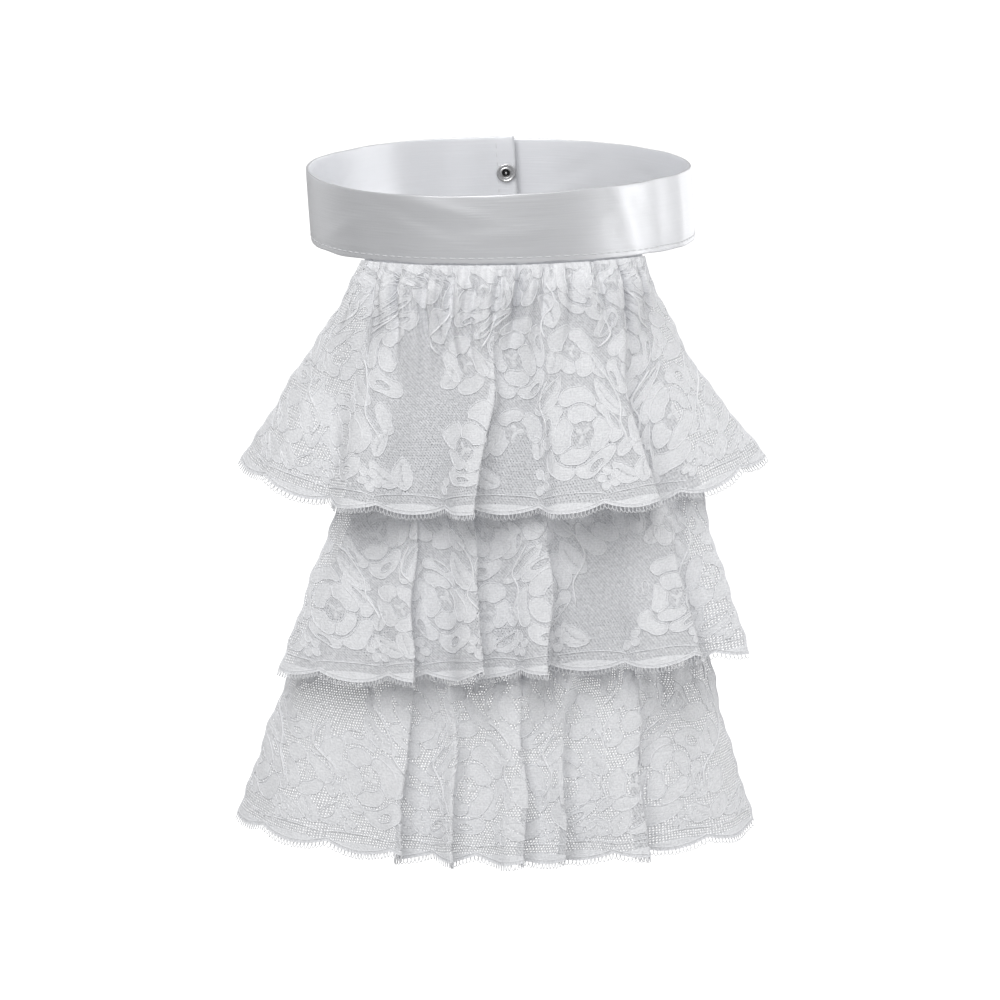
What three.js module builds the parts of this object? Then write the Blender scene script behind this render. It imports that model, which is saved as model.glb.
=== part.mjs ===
// Lace jabot: a satin neckband closed at the back with a ring snap, and three gathered
// lace ruffles that hang in tiers from the front of the band on a plain base panel.
// Millimetres, +Z up. The origin is the centre of the neck ring at mid height of the
// band. +X is to the right as seen from the front, and the front faces -Y.
import * as THREE from 'three';
import { mergeVertices } from 'three/addons/utils/BufferGeometryUtils.js';

const { abs, asin, cos, hypot, max, min, PI, sin, sqrt } = Math;
const DEGREE = PI / 180;
const { clamp, lerp, smoothstep } = THREE.MathUtils;

// ---- driving dimensions ---------------------------------------------------------------

const SEAM_GAP = 0.35; // clearance between two pieces that are sewn together
const BAND_SEAM_GAP = 0.5; // the same below the band, whose lower edge isn't level
const CLOTH = 1.0; // wall of the lace ruffles and of the base panel

// The neckband is one folded satin strip. Its angle runs from the back centre (0) over
// the wearer's side at +X to the front (180), and on to the end that lies inside.
const BAND = {
  radius: 66.6, // outer face
  wall: 1.2,
  height: 25,
  firstEnd: -10.5, // degrees, the outer end of the overlap
  lastEnd: 365.2, // degrees, the inner end of the overlap
  step: 3.6, // degrees between two sections
  layerGap: 2.6, // clearance between the two ends, where the snap sits
  tuckStart: 322, // degrees, where the inner end starts to bend inwards
  tuckStop: 350,
  lean: 0.06, // sideways shift for each mm of height
  frontWave: 1.2, // rise of the front's right and fall of its left
  lowerLift: 2.0, // how far the ruffle's gathers draw the lower edge up at the front
  raiseStart: 302, // degrees, where the inner end starts to rise
  endRise: 1.3, // the inner end sits this much higher
};

// Sections of the base panel, from its upper edge inside the band to its lower edge.
const PANEL = [
  { z: -7.5, left: -46.1, right: 47.1, front: 64.5, sagitta: 19.9 },
  { z: -13.5, left: -45.9, right: 47.5, front: 64.5, sagitta: 20.0 },
  { z: -40, left: -45.6, right: 52.5, front: 63.5, sagitta: 18 },
  { z: -70, left: -47.5, right: 59.5, front: 62, sagitta: 17 },
  { z: -104, left: -52, right: 62, front: 61.5, sagitta: 17 },
  { z: -138, left: -66, right: 65.5, front: 62, sagitta: 19.5 },
];
const PANEL_COLUMNS = 20;

// Each ruffle is a straight strip of lace, gathered along its upper edge and left free
// below. Its hem follows an arc in plan, and each row of folds gives the hem's place x,
// how far it stands out from that arc, and its share of the gathered upper edge. Where
// x runs back, the cloth turns under itself.
const TIERS = [
  {
    name: 'tier_top',
    depth: 85.5,
    seam: null, // just below the band
    hem: { left: -90.8, right: 92, front: 84, sagitta: 49 },
    flare: { left: 1.1, right: 1.36 },
    folds: [
      { x: -90.8, out: 0, share: 0 },
      { x: -77, out: 3, share: 0.03 },
      { x: -64, out: -5, share: 0.065 },
      { x: -52, out: 3.5, share: 0.11 },
      { x: -45, out: 5, share: 0.145 },
      { x: -33, out: -6, share: 0.25 },
      { x: -22, out: -5.5, share: 0.34 },
      { x: -14, out: 4, share: 0.44 },
      { x: -9, out: 6.5, share: 0.495 },
      { x: -13.5, out: 1, share: 0.515 },
      { x: -8, out: -5.5, share: 0.535 },
      { x: 3, out: -6, share: 0.575 },
      { x: 13, out: -3.5, share: 0.61 },
      { x: 17.5, out: 4.5, share: 0.64 },
      { x: 33, out: 7, share: 0.73 },
      { x: 50.5, out: 6.5, share: 0.83 },
      { x: 45.5, out: 0.5, share: 0.85 },
      { x: 52, out: -5.5, share: 0.87 },
      { x: 66, out: -3, share: 0.92 },
      { x: 80, out: 0, share: 0.965 },
      { x: 92, out: -1, share: 1 },
    ],
  },
  {
    name: 'tier_middle',
    depth: 84,
    seam: { z: -68, sideDrop: 4.5, tilt: 3.5 },
    hem: { left: -77.6, right: 84, front: 81, sagitta: 24 },
    flare: { left: 1.1, right: 0.95 },
    folds: [
      { x: -77.6, out: 0, share: 0 },
      { x: -62, out: 3.5, share: 0.06 },
      { x: -46, out: 1, share: 0.12 },
      { x: -34, out: 5, share: 0.175 },
      { x: -28.5, out: 5.5, share: 0.2 },
      { x: -33, out: 0.5, share: 0.22 },
      { x: -27.5, out: -5, share: 0.24 },
      { x: -18, out: -4, share: 0.268 },
      { x: -11, out: 4, share: 0.3 },
      { x: -5.5, out: 6, share: 0.325 },
      { x: -8.5, out: 1, share: 0.348 },
      { x: -3.5, out: -5, share: 0.372 },
      { x: 4, out: -3, share: 0.44 },
      { x: 9, out: 4.5, share: 0.515 },
      { x: 14.5, out: 6, share: 0.59 },
      { x: 11.5, out: 0.5, share: 0.61 },
      { x: 16.5, out: -6, share: 0.63 },
      { x: 29, out: -6.5, share: 0.69 },
      { x: 40, out: -3, share: 0.76 },
      { x: 46, out: 4, share: 0.805 },
      { x: 58, out: 6, share: 0.855 },
      { x: 65.5, out: 5.5, share: 0.885 },
      { x: 62, out: 0.5, share: 0.91 },
      { x: 68, out: -5, share: 0.935 },
      { x: 77, out: -2, share: 0.968 },
      { x: 84, out: 0, share: 1 },
    ],
  },
  {
    name: 'tier_bottom',
    depth: 84,
    seam: { z: -134, sideDrop: -2, tilt: -1 },
    hem: { left: -95.5, right: 88.5, front: 82, sagitta: 38 },
    flare: { left: 1.03, right: 1.03 },
    folds: [
      { x: -95.5, out: -3, share: 0 },
      { x: -84, out: 2, share: 0.035 },
      { x: -70, out: 4, share: 0.08 },
      { x: -54, out: 1, share: 0.15 },
      { x: -40, out: 5, share: 0.235 },
      { x: -33, out: 6, share: 0.27 },
      { x: -36.5, out: 1, share: 0.29 },
      { x: -31, out: -5, share: 0.31 },
      { x: -24, out: -3, share: 0.335 },
      { x: -16.5, out: 4.5, share: 0.365 },
      { x: -17.5, out: 0, share: 0.385 },
      { x: -13, out: -4.5, share: 0.405 },
      { x: -4, out: -2, share: 0.455 },
      { x: 2, out: 5, share: 0.505 },
      { x: 6.5, out: 5.5, share: 0.545 },
      { x: 4, out: 0.5, share: 0.565 },
      { x: 8.5, out: -4.5, share: 0.585 },
      { x: 12.5, out: -2, share: 0.61 },
      { x: 20, out: 5, share: 0.65 },
      { x: 18, out: 0, share: 0.67 },
      { x: 22, out: -5.5, share: 0.69 },
      { x: 32, out: -2, share: 0.725 },
      { x: 40, out: 5, share: 0.765 },
      { x: 48, out: 5.5, share: 0.805 },
      { x: 44.5, out: 0.5, share: 0.825 },
      { x: 50, out: -5, share: 0.845 },
      { x: 62, out: -1.5, share: 0.89 },
      { x: 76, out: 2, share: 0.955 },
      { x: 88.5, out: -2, share: 1 },
    ],
  },
];
const SEAM_LENGTH = 100; // a ruffle's gathered edge, about, to weigh it against its hem
const TIER_COLUMNS = 120;
const TIER_ROWS = [0, 0.06, 0.15, 0.3, 0.53, 0.77, 1]; // shares of the drop
const SCALLOP = 26; // repeat of the scalloped hem
const SCALLOP_DEPTH = 2.6;
const SCALLOP_START = 0.25; // of a scallop, at the ruffle's left end
const GATHERS = { count: 21, second: 13, atSeam: 0.3, fullest: 1.7, fullAt: 0.1, goneAt: 0.5 };

// The snap's round pieces lie one behind the other on an axis along Y at the back.
const SNAP = { x: 1.9, z: 0.6, radius: 3.4, sides: 16, hollowGap: 0.6 };

// ---- materials ------------------------------------------------------------------------

const finish = (color, roughness, metalness) =>
  new THREE.MeshStandardMaterial({ color, roughness, metalness, side: THREE.DoubleSide });
const satin = () => finish(0xe9eaee, 0.35, 0);
const lace = () => finish(0xe6e8ec, 0.8, 0);
const lining = () => finish(0xeeeeee, 0.9, 0);
const metal = () => finish(0xb9bbbf, 0.3, 1);

// ---- cloth walls ----------------------------------------------------------------------

// The direction out of a sheet at one of its points, from its neighbours in the grid.
// It is level along the upper edge, so that the edge keeps clear of what it hangs from.
function outward(grid, column, row) {
  const across = new THREE.Vector3().subVectors(
    grid[min(column + 1, grid.length - 1)][row],
    grid[max(column - 1, 0)][row],
  );
  const down = new THREE.Vector3().subVectors(
    grid[column][min(row + 1, grid[column].length - 1)],
    grid[column][max(row - 1, 0)],
  );
  const normal = down.cross(across);
  return (row === 0 ? normal.setZ(0) : normal).normalize();
}

// A closed wall of one thickness around a sheet, whose grid runs along it and then down.
function clothWall(grid, thickness) {
  const columns = grid.length;
  const rows = grid[0].length;
  const positions = [];
  for (const side of [0.5, -0.5]) {
    grid.forEach((line, column) => line.forEach((point, row) => {
      const moved = outward(grid, column, row).multiplyScalar(side * thickness).add(point);
      positions.push(moved.x, moved.y, moved.z);
    }));
  }
  const outer = (column, row) => column * rows + row;
  const inner = (column, row) => (columns + column) * rows + row;
  const index = [];
  const face = (a, b, c, d) => index.push(a, b, c, a, c, d);
  for (let column = 0; column < columns - 1; column++) {
    for (let row = 0; row < rows - 1; row++) {
      const [next, below] = [column + 1, row + 1];
      face(outer(column, row), outer(column, below), outer(next, below), outer(next, row));
      face(inner(column, row), inner(next, row), inner(next, below), inner(column, below));
    }
    const [next, last] = [column + 1, rows - 1];
    face(outer(column, 0), outer(next, 0), inner(next, 0), inner(column, 0));
    face(outer(column, last), inner(column, last), inner(next, last), outer(next, last));
  }
  for (let row = 0; row < rows - 1; row++) {
    const [below, last] = [row + 1, columns - 1];
    face(outer(0, row), inner(0, row), inner(0, below), outer(0, below));
    face(outer(last, row), outer(last, below), inner(last, below), inner(last, row));
  }
  const geometry = new THREE.BufferGeometry();
  geometry.setAttribute('position', new THREE.Float32BufferAttribute(positions, 3));
  geometry.setIndex(index);
  geometry.computeVertexNormals();
  return geometry;
}

// An arc in plan that bulges to the front, from its ends in x, foremost y and sagitta.
function planArc({ left, right, front, sagitta }) {
  const half = (right - left) / 2;
  const radius = (half * half + sagitta * sagitta) / (2 * sagitta);
  const centre = (left + right) / 2;
  return {
    span: asin(half / radius), // angle from the arc's middle to its end
    angleAt: (x) => asin(clamp((x - centre) / radius, -1, 1)),
    point: (angle, out = 0) => ({
      x: centre + (radius + out) * sin(angle),
      y: -front + radius - (radius + out) * cos(angle),
      normal: new THREE.Vector2(sin(angle), -cos(angle)),
    }),
  };
}

// The point of such an arc at s, from -1 at the left to 1 at the right.
function arcPoint(section, s, out = 0) {
  const arc = planArc(section);
  return arc.point(s * arc.span, out);
}

// ---- neckband -------------------------------------------------------------------------

// Heights of the band's two edges at an angle round the ring.
function bandEdges(angle) {
  const turn = angle * DEGREE;
  const front = max(0, -cos(turn));
  const wave = front > 0 ? -BAND.frontWave * sin(2 * turn) : 0;
  const end = BAND.endRise * smoothstep(angle, BAND.raiseStart, BAND.lastEnd);
  return {
    upper: BAND.height / 2 + wave + end,
    lower: -BAND.height / 2 + wave / 2 + end + BAND.lowerLift * front * front,
  };
}

function bandRadius(angle) {
  const tuck = smoothstep(angle, BAND.tuckStart, BAND.tuckStop);
  return BAND.radius - BAND.wall / 2 - tuck * (BAND.wall + BAND.layerGap);
}

function neckband() {
  const sections = Math.ceil((BAND.lastEnd - BAND.firstEnd) / BAND.step);
  const grid = [];
  for (let section = sections; section >= 0; section--) {
    const angle = lerp(BAND.firstEnd, BAND.lastEnd, section / sections);
    const { upper, lower } = bandEdges(angle);
    grid.push([0, 0.5, 1].map((share) => {
      const z = lerp(upper, lower, share);
      const x = bandRadius(angle) * sin(angle * DEGREE) - BAND.lean * z;
      return new THREE.Vector3(x, bandRadius(angle) * cos(angle * DEGREE), z);
    }));
  }
  return clothWall(grid, BAND.wall);
}

// ---- base panel -----------------------------------------------------------------------

// The panel's section at a height, between the rows of its table.
function panelSection(z) {
  const last = PANEL.length - 1;
  const below = clamp(PANEL.findIndex((row) => row.z <= z), 1, last);
  const [a, b] = [PANEL[below - 1], PANEL[below]];
  const share = clamp((a.z - z) / (a.z - b.z), 0, 1);
  const between = (key) => lerp(a[key], b[key], share);
  return {
    left: between('left'),
    right: between('right'),
    front: between('front'),
    sagitta: between('sagitta'),
  };
}

function basePanel() {
  const grid = [];
  for (let column = 0; column <= PANEL_COLUMNS; column++) {
    const s = (2 * column) / PANEL_COLUMNS - 1;
    grid.push(PANEL.map((section) => {
      const { x, y } = arcPoint(section, s);
      return new THREE.Vector3(x, y, section.z);
    }));
  }
  return clothWall(grid, CLOTH);
}

// ---- ruffles --------------------------------------------------------------------------

// The height of a ruffle's upper edge at a share of its gathered width.
function seamHeight({ seam }, share) {
  const s = 2 * share - 1;
  if (seam) {
    return seam.z - seam.sideDrop * s * s + seam.tilt * s;
  }
  const { x } = arcPoint(PANEL[1], s);
  const angle = 180 - asin(clamp(x / BAND.radius, -1, 1)) / DEGREE;
  return bandEdges(angle).lower - BAND_SEAM_GAP;
}

// The upper edge lies on the base panel: the panel's own points, moved out.
function seamPoint(tier, share) {
  const z = seamHeight(tier, share);
  return { z, ...arcPoint(panelSection(z), 2 * share - 1, CLOTH + SEAM_GAP) };
}

// The hem's place in plan for a row of folds.
function hemPoint({ hem }, x, out) {
  const arc = planArc(hem);
  return arc.point(arc.angleAt(x), out);
}

// How far the small gathers push the cloth out, at a share of the width and of the drop.
function gatherOut(share, drop) {
  const phase = 2 * PI * share;
  const main = cos(GATHERS.count * phase + 0.9 * sin(3 * phase));
  const second = cos(GATHERS.second * phase + 1.3 + 1.2 * sin(2 * phase));
  const wave = 0.58 * main + 0.42 * second;
  const swell = lerp(GATHERS.atSeam, GATHERS.fullest, min(1, drop / GATHERS.fullAt));
  const length = GATHERS.goneAt * (1 + 0.25 * sin(5 * phase + 0.7));
  const fade = 1 - smoothstep(drop, GATHERS.fullAt, length);
  const ends = smoothstep(min(share, 1 - share), 0, 0.05);
  return swell * fade * (1 + wave) * ends;
}

// The ruffle's columns, evenly spread over its hem and its gathered edge together.
function ruffleColumns(tier) {
  const fine = 24 * tier.folds.length;
  const rows = tier.folds.map(({ x, out, share }) => new THREE.Vector3(x, out, share * SEAM_LENGTH));
  const curve = new THREE.CatmullRomCurve3(rows, false, 'centripetal');
  const samples = [];
  for (let step = 0; step <= fine; step++) {
    const row = curve.getPoint(step / fine);
    const share = clamp(row.z / SEAM_LENGTH, 0, 1);
    const hem = hemPoint(tier, row.x, row.y);
    const before = samples.at(-1) ?? { hem, share, length: 0, spread: 0 };
    const length = before.length + hypot(hem.x - before.hem.x, hem.y - before.hem.y);
    const gathered = SEAM_LENGTH * abs(share - before.share);
    const spread = before.spread + (length - before.length) + gathered;
    samples.push({ hem, share, length, spread });
  }
  const total = samples.at(-1).spread;
  const columns = [];
  for (let column = 0, low = 0; column <= TIER_COLUMNS; column++) {
    const target = (total * column) / TIER_COLUMNS;
    while (low < fine - 1 && samples[low + 1].spread < target) {
      low++;
    }
    const [a, b] = [samples[low], samples[low + 1]];
    const part = clamp((target - a.spread) / (b.spread - a.spread), 0, 1);
    columns.push({
      share: lerp(a.share, b.share, part),
      length: lerp(a.length, b.length, part),
      x: lerp(a.hem.x, b.hem.x, part),
      y: lerp(a.hem.y, b.hem.y, part),
    });
  }
  return columns;
}

// One column of a ruffle, from its gathered edge down to its scalloped hem.
function ruffleColumn(tier, { share, length, x, y }) {
  const seam = seamPoint(tier, share);
  const flare = lerp(tier.flare.left, tier.flare.right, share);
  const lobe = abs(sin(PI * (length / SCALLOP + SCALLOP_START))) ** 0.8;
  const cut = tier.depth - SCALLOP_DEPTH * (1 - lobe);
  const reach = hypot(x - seam.x, y - seam.y);
  const fall = sqrt(cut * cut - reach * reach);
  return TIER_ROWS.map((drop) => {
    const spread = drop ** flare;
    const out = gatherOut(share, drop);
    return new THREE.Vector3(
      lerp(seam.x, x, spread) + seam.normal.x * out,
      lerp(seam.y, y, spread) + seam.normal.y * out,
      seam.z - fall * drop,
    );
  });
}

function ruffle(tier) {
  return clothWall(ruffleColumns(tier).map((column) => ruffleColumn(tier, column)), CLOTH);
}

// ---- ring snap ------------------------------------------------------------------------

// A round piece on the snap's axis. Its profile holds radii and places along Y, and runs
// from the inside of the ring outwards and round.
function turned(profile) {
  const points = profile.map(([radius, y]) => new THREE.Vector2(radius, y));
  const lathe = new THREE.LatheGeometry(points, SNAP.sides);
  lathe.deleteAttribute('normal');
  lathe.deleteAttribute('uv');
  const geometry = mergeVertices(lathe);
  geometry.computeVertexNormals();
  return geometry;
}

// Places along Y of the four cloth faces that the snap's pieces meet.
const overlap = {
  insideFace: BAND.radius - 2 * BAND.wall - BAND.layerGap,
  innerLayer: BAND.radius - BAND.wall - BAND.layerGap,
  outerLayer: BAND.radius - BAND.wall,
  outsideFace: BAND.radius,
};

function snapRing() {
  const back = overlap.insideFace - SNAP.hollowGap;
  const hole = 1.5;
  const rim = SNAP.radius;
  return turned([
    [hole, back - 0.45], [hole + 0.5, back - 0.8], [rim - 0.7, back - 0.8],
    [rim, back - 0.35], [rim, back], [hole, back], [hole, back - 0.45],
  ]);
}

function snapSocket() {
  const back = overlap.innerLayer + SEAM_GAP;
  const hole = 1.7;
  const rim = SNAP.radius;
  return turned([
    [hole, back], [rim, back], [rim, back + 0.6], [rim - 0.5, back + 0.8],
    [hole, back + 0.8], [hole, back],
  ]);
}

function snapStud() {
  const back = overlap.outerLayer - SNAP.hollowGap;
  const knob = 1.3;
  const rim = SNAP.radius - 0.4;
  return turned([
    [0, back - 1.5], [knob, back - 1.5], [knob, back - 0.5], [rim, back - 0.5],
    [rim, back], [0, back],
  ]);
}

function snapCap() {
  const face = overlap.outsideFace + SEAM_GAP;
  const rim = SNAP.radius;
  return turned([
    [0, face], [rim, face], [rim, face + 0.3], [rim * 0.7, face + 0.8], [0, face + 1.0],
  ]);
}

// ---- the whole jabot ------------------------------------------------------------------

function piece(name, geometry, material) {
  const mesh = new THREE.Mesh(geometry, material);
  mesh.name = name;
  return mesh;
}

const jabot = new THREE.Group();
jabot.add(piece('neckband', neckband(), satin()));
jabot.add(piece('base_panel', basePanel(), lining()));
for (const tier of TIERS) {
  jabot.add(piece(tier.name, ruffle(tier), lace()));
}

const snap = new THREE.Group();
snap.position.set(SNAP.x, 0, SNAP.z);
snap.add(piece('snap_ring', snapRing(), metal()));
snap.add(piece('snap_socket', snapSocket(), metal()));
snap.add(piece('snap_stud', snapStud(), metal()));
snap.add(piece('snap_cap', snapCap(), metal()));
jabot.add(snap);

export default jabot;
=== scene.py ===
"""The looks of a white lace jabot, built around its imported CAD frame.

A satin neckband closes at the back with a ring snap. Three gathered ruffles of floral lace hang
from its front, the lower two from a plain base panel. The tables and functions below are in
millimetres and repeat the sizes of the part's source. MM turns them into metres when a mesh
is made. The bare numbers inside sines are only the unevenness of cloth.
"""

import math

import bpy
import numpy as np
from mathutils import Matrix, Vector


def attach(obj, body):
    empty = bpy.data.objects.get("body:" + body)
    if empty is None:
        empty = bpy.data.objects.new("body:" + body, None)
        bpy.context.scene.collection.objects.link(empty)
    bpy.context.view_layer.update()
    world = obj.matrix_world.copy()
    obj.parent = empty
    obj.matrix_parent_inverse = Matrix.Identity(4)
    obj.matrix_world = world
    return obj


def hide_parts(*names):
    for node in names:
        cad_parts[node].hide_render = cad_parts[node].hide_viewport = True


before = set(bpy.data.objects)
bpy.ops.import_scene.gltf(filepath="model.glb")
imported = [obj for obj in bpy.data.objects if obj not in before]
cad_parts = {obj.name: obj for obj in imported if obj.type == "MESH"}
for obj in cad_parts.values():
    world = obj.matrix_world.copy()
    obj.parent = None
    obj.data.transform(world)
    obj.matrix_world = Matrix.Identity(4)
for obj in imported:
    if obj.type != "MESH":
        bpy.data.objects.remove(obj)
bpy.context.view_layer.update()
MM = 0.001


def table(names, *rows):
    """A table with named columns, one array for each."""
    return dict(zip(names.split(), np.array(rows, float).T))


# ---- sizes of the part ----

SEAM_GAP = 0.35
BAND_SEAM_GAP = 0.5
CLOTH = 1.0  # thickness of the solids' cloth walls

# Angle 0 is the back centre, 90 the +X side and 180 the front.
BAND_RADIUS = 66.6  # of the outer face
BAND_WALL = 1.2
BAND_MIDDLE = BAND_RADIUS - BAND_WALL / 2
BAND_HEIGHT = 25.0
BAND_ENDS = (-10.5, 365.2)
BAND_LENGTH = math.radians(BAND_ENDS[1] - BAND_ENDS[0]) * BAND_MIDDLE
BAND_TUCK = (322.0, 350.0)  # angles where the inner end moves in
LAYER_GAP = 2.6  # between the overlapping ends
BAND_LEAN = 0.06
FRONT_WAVE = 1.2
LOWER_LIFT = 2.0
END_RISE_START = 302.0
END_RISE = 1.3

# Plan arcs of the base panel, from the top down.
PANEL = table(
    "z left right front sagitta",
    (-7.5, -46.1, 47.1, 64.5, 19.9),
    (-13.5, -45.9, 47.5, 64.5, 20.0),
    (-40, -45.6, 52.5, 63.5, 18),
    (-70, -47.5, 59.5, 62, 17),
    (-104, -52, 62, 61.5, 17),
    (-138, -66, 65.5, 62, 19.5),
)

# A row is a fold's place at the hem (x, and out in front of the hem's arc), and its share
# of the seam.
FOLD_COLUMNS = "x out share"
TIERS = {
    "tier_top": dict(
        depth=85.5, seam=None, hem=(-90.8, 92, 84, 49), flare=(1.1, 1.36), rests_on="neckband",
        folds=table(
            FOLD_COLUMNS,
            (-90.8, 0, 0), (-77, 3, 0.03), (-64, -5, 0.065), (-52, 3.5, 0.11), (-45, 5, 0.145),
            (-33, -6, 0.25), (-22, -5.5, 0.34), (-14, 4, 0.44), (-9, 6.5, 0.495),
            (-13.5, 1, 0.515), (-8, -5.5, 0.535), (3, -6, 0.575), (13, -3.5, 0.61),
            (17.5, 4.5, 0.64), (33, 7, 0.73), (50.5, 6.5, 0.83), (45.5, 0.5, 0.85),
            (52, -5.5, 0.87), (66, -3, 0.92), (80, 0, 0.965), (92, -1, 1),
        ),
    ),
    "tier_middle": dict(
        depth=84, seam=(-68, 4.5, 3.5), hem=(-77.6, 84, 81, 24), flare=(1.1, 0.95),
        rests_on="base_panel",
        folds=table(
            FOLD_COLUMNS,
            (-77.6, 0, 0), (-62, 3.5, 0.06), (-46, 1, 0.12), (-34, 5, 0.175), (-28.5, 5.5, 0.2),
            (-33, 0.5, 0.22), (-27.5, -5, 0.24), (-18, -4, 0.268), (-11, 4, 0.3), (-5.5, 6, 0.325),
            (-8.5, 1, 0.348), (-3.5, -5, 0.372), (4, -3, 0.44), (9, 4.5, 0.515), (14.5, 6, 0.59),
            (11.5, 0.5, 0.61), (16.5, -6, 0.63), (29, -6.5, 0.69), (40, -3, 0.76), (46, 4, 0.805),
            (58, 6, 0.855), (65.5, 5.5, 0.885), (62, 0.5, 0.91), (68, -5, 0.935), (77, -2, 0.968),
            (84, 0, 1),
        ),
    ),
    "tier_bottom": dict(
        depth=84, seam=(-134, -2, -1), hem=(-95.5, 88.5, 82, 38), flare=(1.03, 1.03),
        rests_on="base_panel",
        folds=table(
            FOLD_COLUMNS,
            (-95.5, -3, 0), (-84, 2, 0.035), (-70, 4, 0.08), (-54, 1, 0.15), (-40, 5, 0.235),
            (-33, 6, 0.27), (-36.5, 1, 0.29), (-31, -5, 0.31), (-24, -3, 0.335),
            (-16.5, 4.5, 0.365), (-17.5, 0, 0.385), (-13, -4.5, 0.405), (-4, -2, 0.455),
            (2, 5, 0.505), (6.5, 5.5, 0.545), (4, 0.5, 0.565), (8.5, -4.5, 0.585),
            (12.5, -2, 0.61), (20, 5, 0.65), (18, 0, 0.67), (22, -5.5, 0.69), (32, -2, 0.725),
            (40, 5, 0.765), (48, 5.5, 0.805), (44.5, 0.5, 0.825), (50, -5, 0.845),
            (62, -1.5, 0.89), (76, 2, 0.955), (88.5, -2, 1),
        ),
    ),
}
SEAM_LENGTH = 100  # a ruffle's gathered edge, about, to weigh it against its hem
HEM_STEPS = 48  # of the hem's curve between two folds
SCALLOP = 26  # repeat of the scalloped hem
SCALLOP_DEPTH = 2.6
SCALLOP_START = 0.25  # of a scallop, at the ruffle's left end
GATHER_COUNTS = (21, 13)
GATHER_SHARES = (0.35, 0.75)
GATHER_AT_SEAM = 0.45
GATHER_FULLEST = 2.8
GATHER_FULL_AT = 0.08  # shares of the drop
GATHER_GONE_AT = 0.5

SNAP_X = 1.9
SNAP_Z = 0.6

# ---- finer sizes, for the looks only ----

LACE_STEP = (0.78, 0.66)  # grid of the dense cloth in the lace, along the hem and down
NET_PITCH = 1.0  # across the flats of a mesh of the net
NET_THREAD = 0.68
NET_UNEVEN = 0.06  # share of the pitch
NET_DRIFT = 0.55
NET_OVERLAP = 0.2  # how far the net's crossings reach into dense cloth
CORD_RADIUS = 0.19
CORD_LIFT = 0.12
SIDE_CLEAR = 0.2  # of threads from a ruffle's sides
SIDE_CORD = 0.3  # the cord along a side, from it
THREAD_TIP = 0.35  # share of a thread's radius at its ends
SCROLL_RADIUS = 0.38
CORD_STEP = 1.15
PICOT = 1.9  # how far the loops stand out below the cloth's edge
PICOT_PITCH = 1.35
PICOT_RADIUS = 0.16
PICOT_ROOT = 0.5  # of the loops, up in the cloth
PICOT_TURN = 0.35  # past a half circle at both ends of a loop
HEM_BAND = 1.3  # dense cloth along the scalloped edge
SEAM_EDGE = 1.2  # and along the gathered edge
SIDE_EDGE = 1.0  # and the rolled sides
FIELD_REACH = 1.5  # round a shape, within which distances to it are worked out
CLOTH_BODY = 0.14  # how far dense cloth stands out
NET_SINK = -0.03
UV_WHOLE, UV_HALF, UV_EDGE = 0.96, 0.46, 0.02  # a cloth's face across all or half of the UV map
CHART_WIDTH = 2 * SCALLOP
CRIMP = 0.3  # fine crimping under the seam
CRIMP_COUNT = 43
CRIMP_ENDS = (0.06, 0.34)  # shares of the drop
RIPPLE = 0.32
FOLD_WANDER = 1.5
SWAY_REACH = 5  # in from a ruffle's side edges
LEVELS, COLUMNS, SPARE_COLUMNS = 60, 1000, 1100  # of the tables between cloth and pattern
SPARE = 4  # how far those tables go past the cloth's sides
PAST_HEM = 1.06  # share of the drop to which a ruffle's surface goes on below its hem
PATTERN_PULL = 0.3  # how far the gathers draw the lace pattern together, as a share
CHART_START = SCALLOP * (0.5 - SCALLOP_START)  # middle of the first scallop


# ---- small maths ----


def smoothstep(x, low, high):
    t = np.clip((x - low) / (high - low), 0, 1)
    return t * t * (3 - 2 * t)


def lerp(a, b, t):
    return a + (b - a) * t


def joined(*parts):
    """Points or directions from their coordinates."""
    return np.stack(np.broadcast_arrays(*parts), -1)


def unit(v):
    return v / np.maximum(np.linalg.norm(v, axis=-1, keepdims=True), 1e-9)


def rows_of(named):
    return zip(*named.values())


def bell(x, width):
    return np.exp(-((x / width) ** 2))


def rounded(distance, radius, least):
    """The share of a thickness that is left near an edge rounded with the radius."""
    return np.sqrt(np.clip(1 - (1 - np.clip(distance / radius, 0, 1)) ** 2, least, 1))


def run_along(path):
    """The length of a line up to each of its points."""
    return np.concatenate([[0], np.cumsum(np.linalg.norm(np.diff(path, axis=0), axis=1))])


def catmull_rom(points, steps):
    """A centripetal Catmull-Rom curve through the points."""
    ends = np.vstack([2 * points[0] - points[1], points, 2 * points[-1] - points[-2]])
    t = np.linspace(0, 1, steps, endpoint=False)[:, None]
    curve = []
    for p0, p1, p2, p3 in zip(ends, ends[1:], ends[2:], ends[3:]):
        d0, d1, d2 = (np.linalg.norm(b - a) ** 0.5 for a, b in ((p0, p1), (p1, p2), (p2, p3)))
        m1 = ((p1 - p0) / d0 - (p2 - p0) / (d0 + d1) + (p2 - p1) / d1) * d1
        m2 = ((p2 - p1) / d1 - (p3 - p1) / (d1 + d2) + (p3 - p2) / d2) * d1
        c2 = 3 * (p2 - p1) - 2 * m1 - m2
        c3 = 2 * (p1 - p2) + m1 + m2
        curve.append(p1 + m1 * t + c2 * t**2 + c3 * t**3)
    return np.vstack([*curve, points[-1:]])


def rounded_ridges(phase):
    """A wave from 1 to -1 with broad round ridges and narrow valleys."""
    return 1 - 2 * np.sin(phase / 2) ** 4


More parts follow.
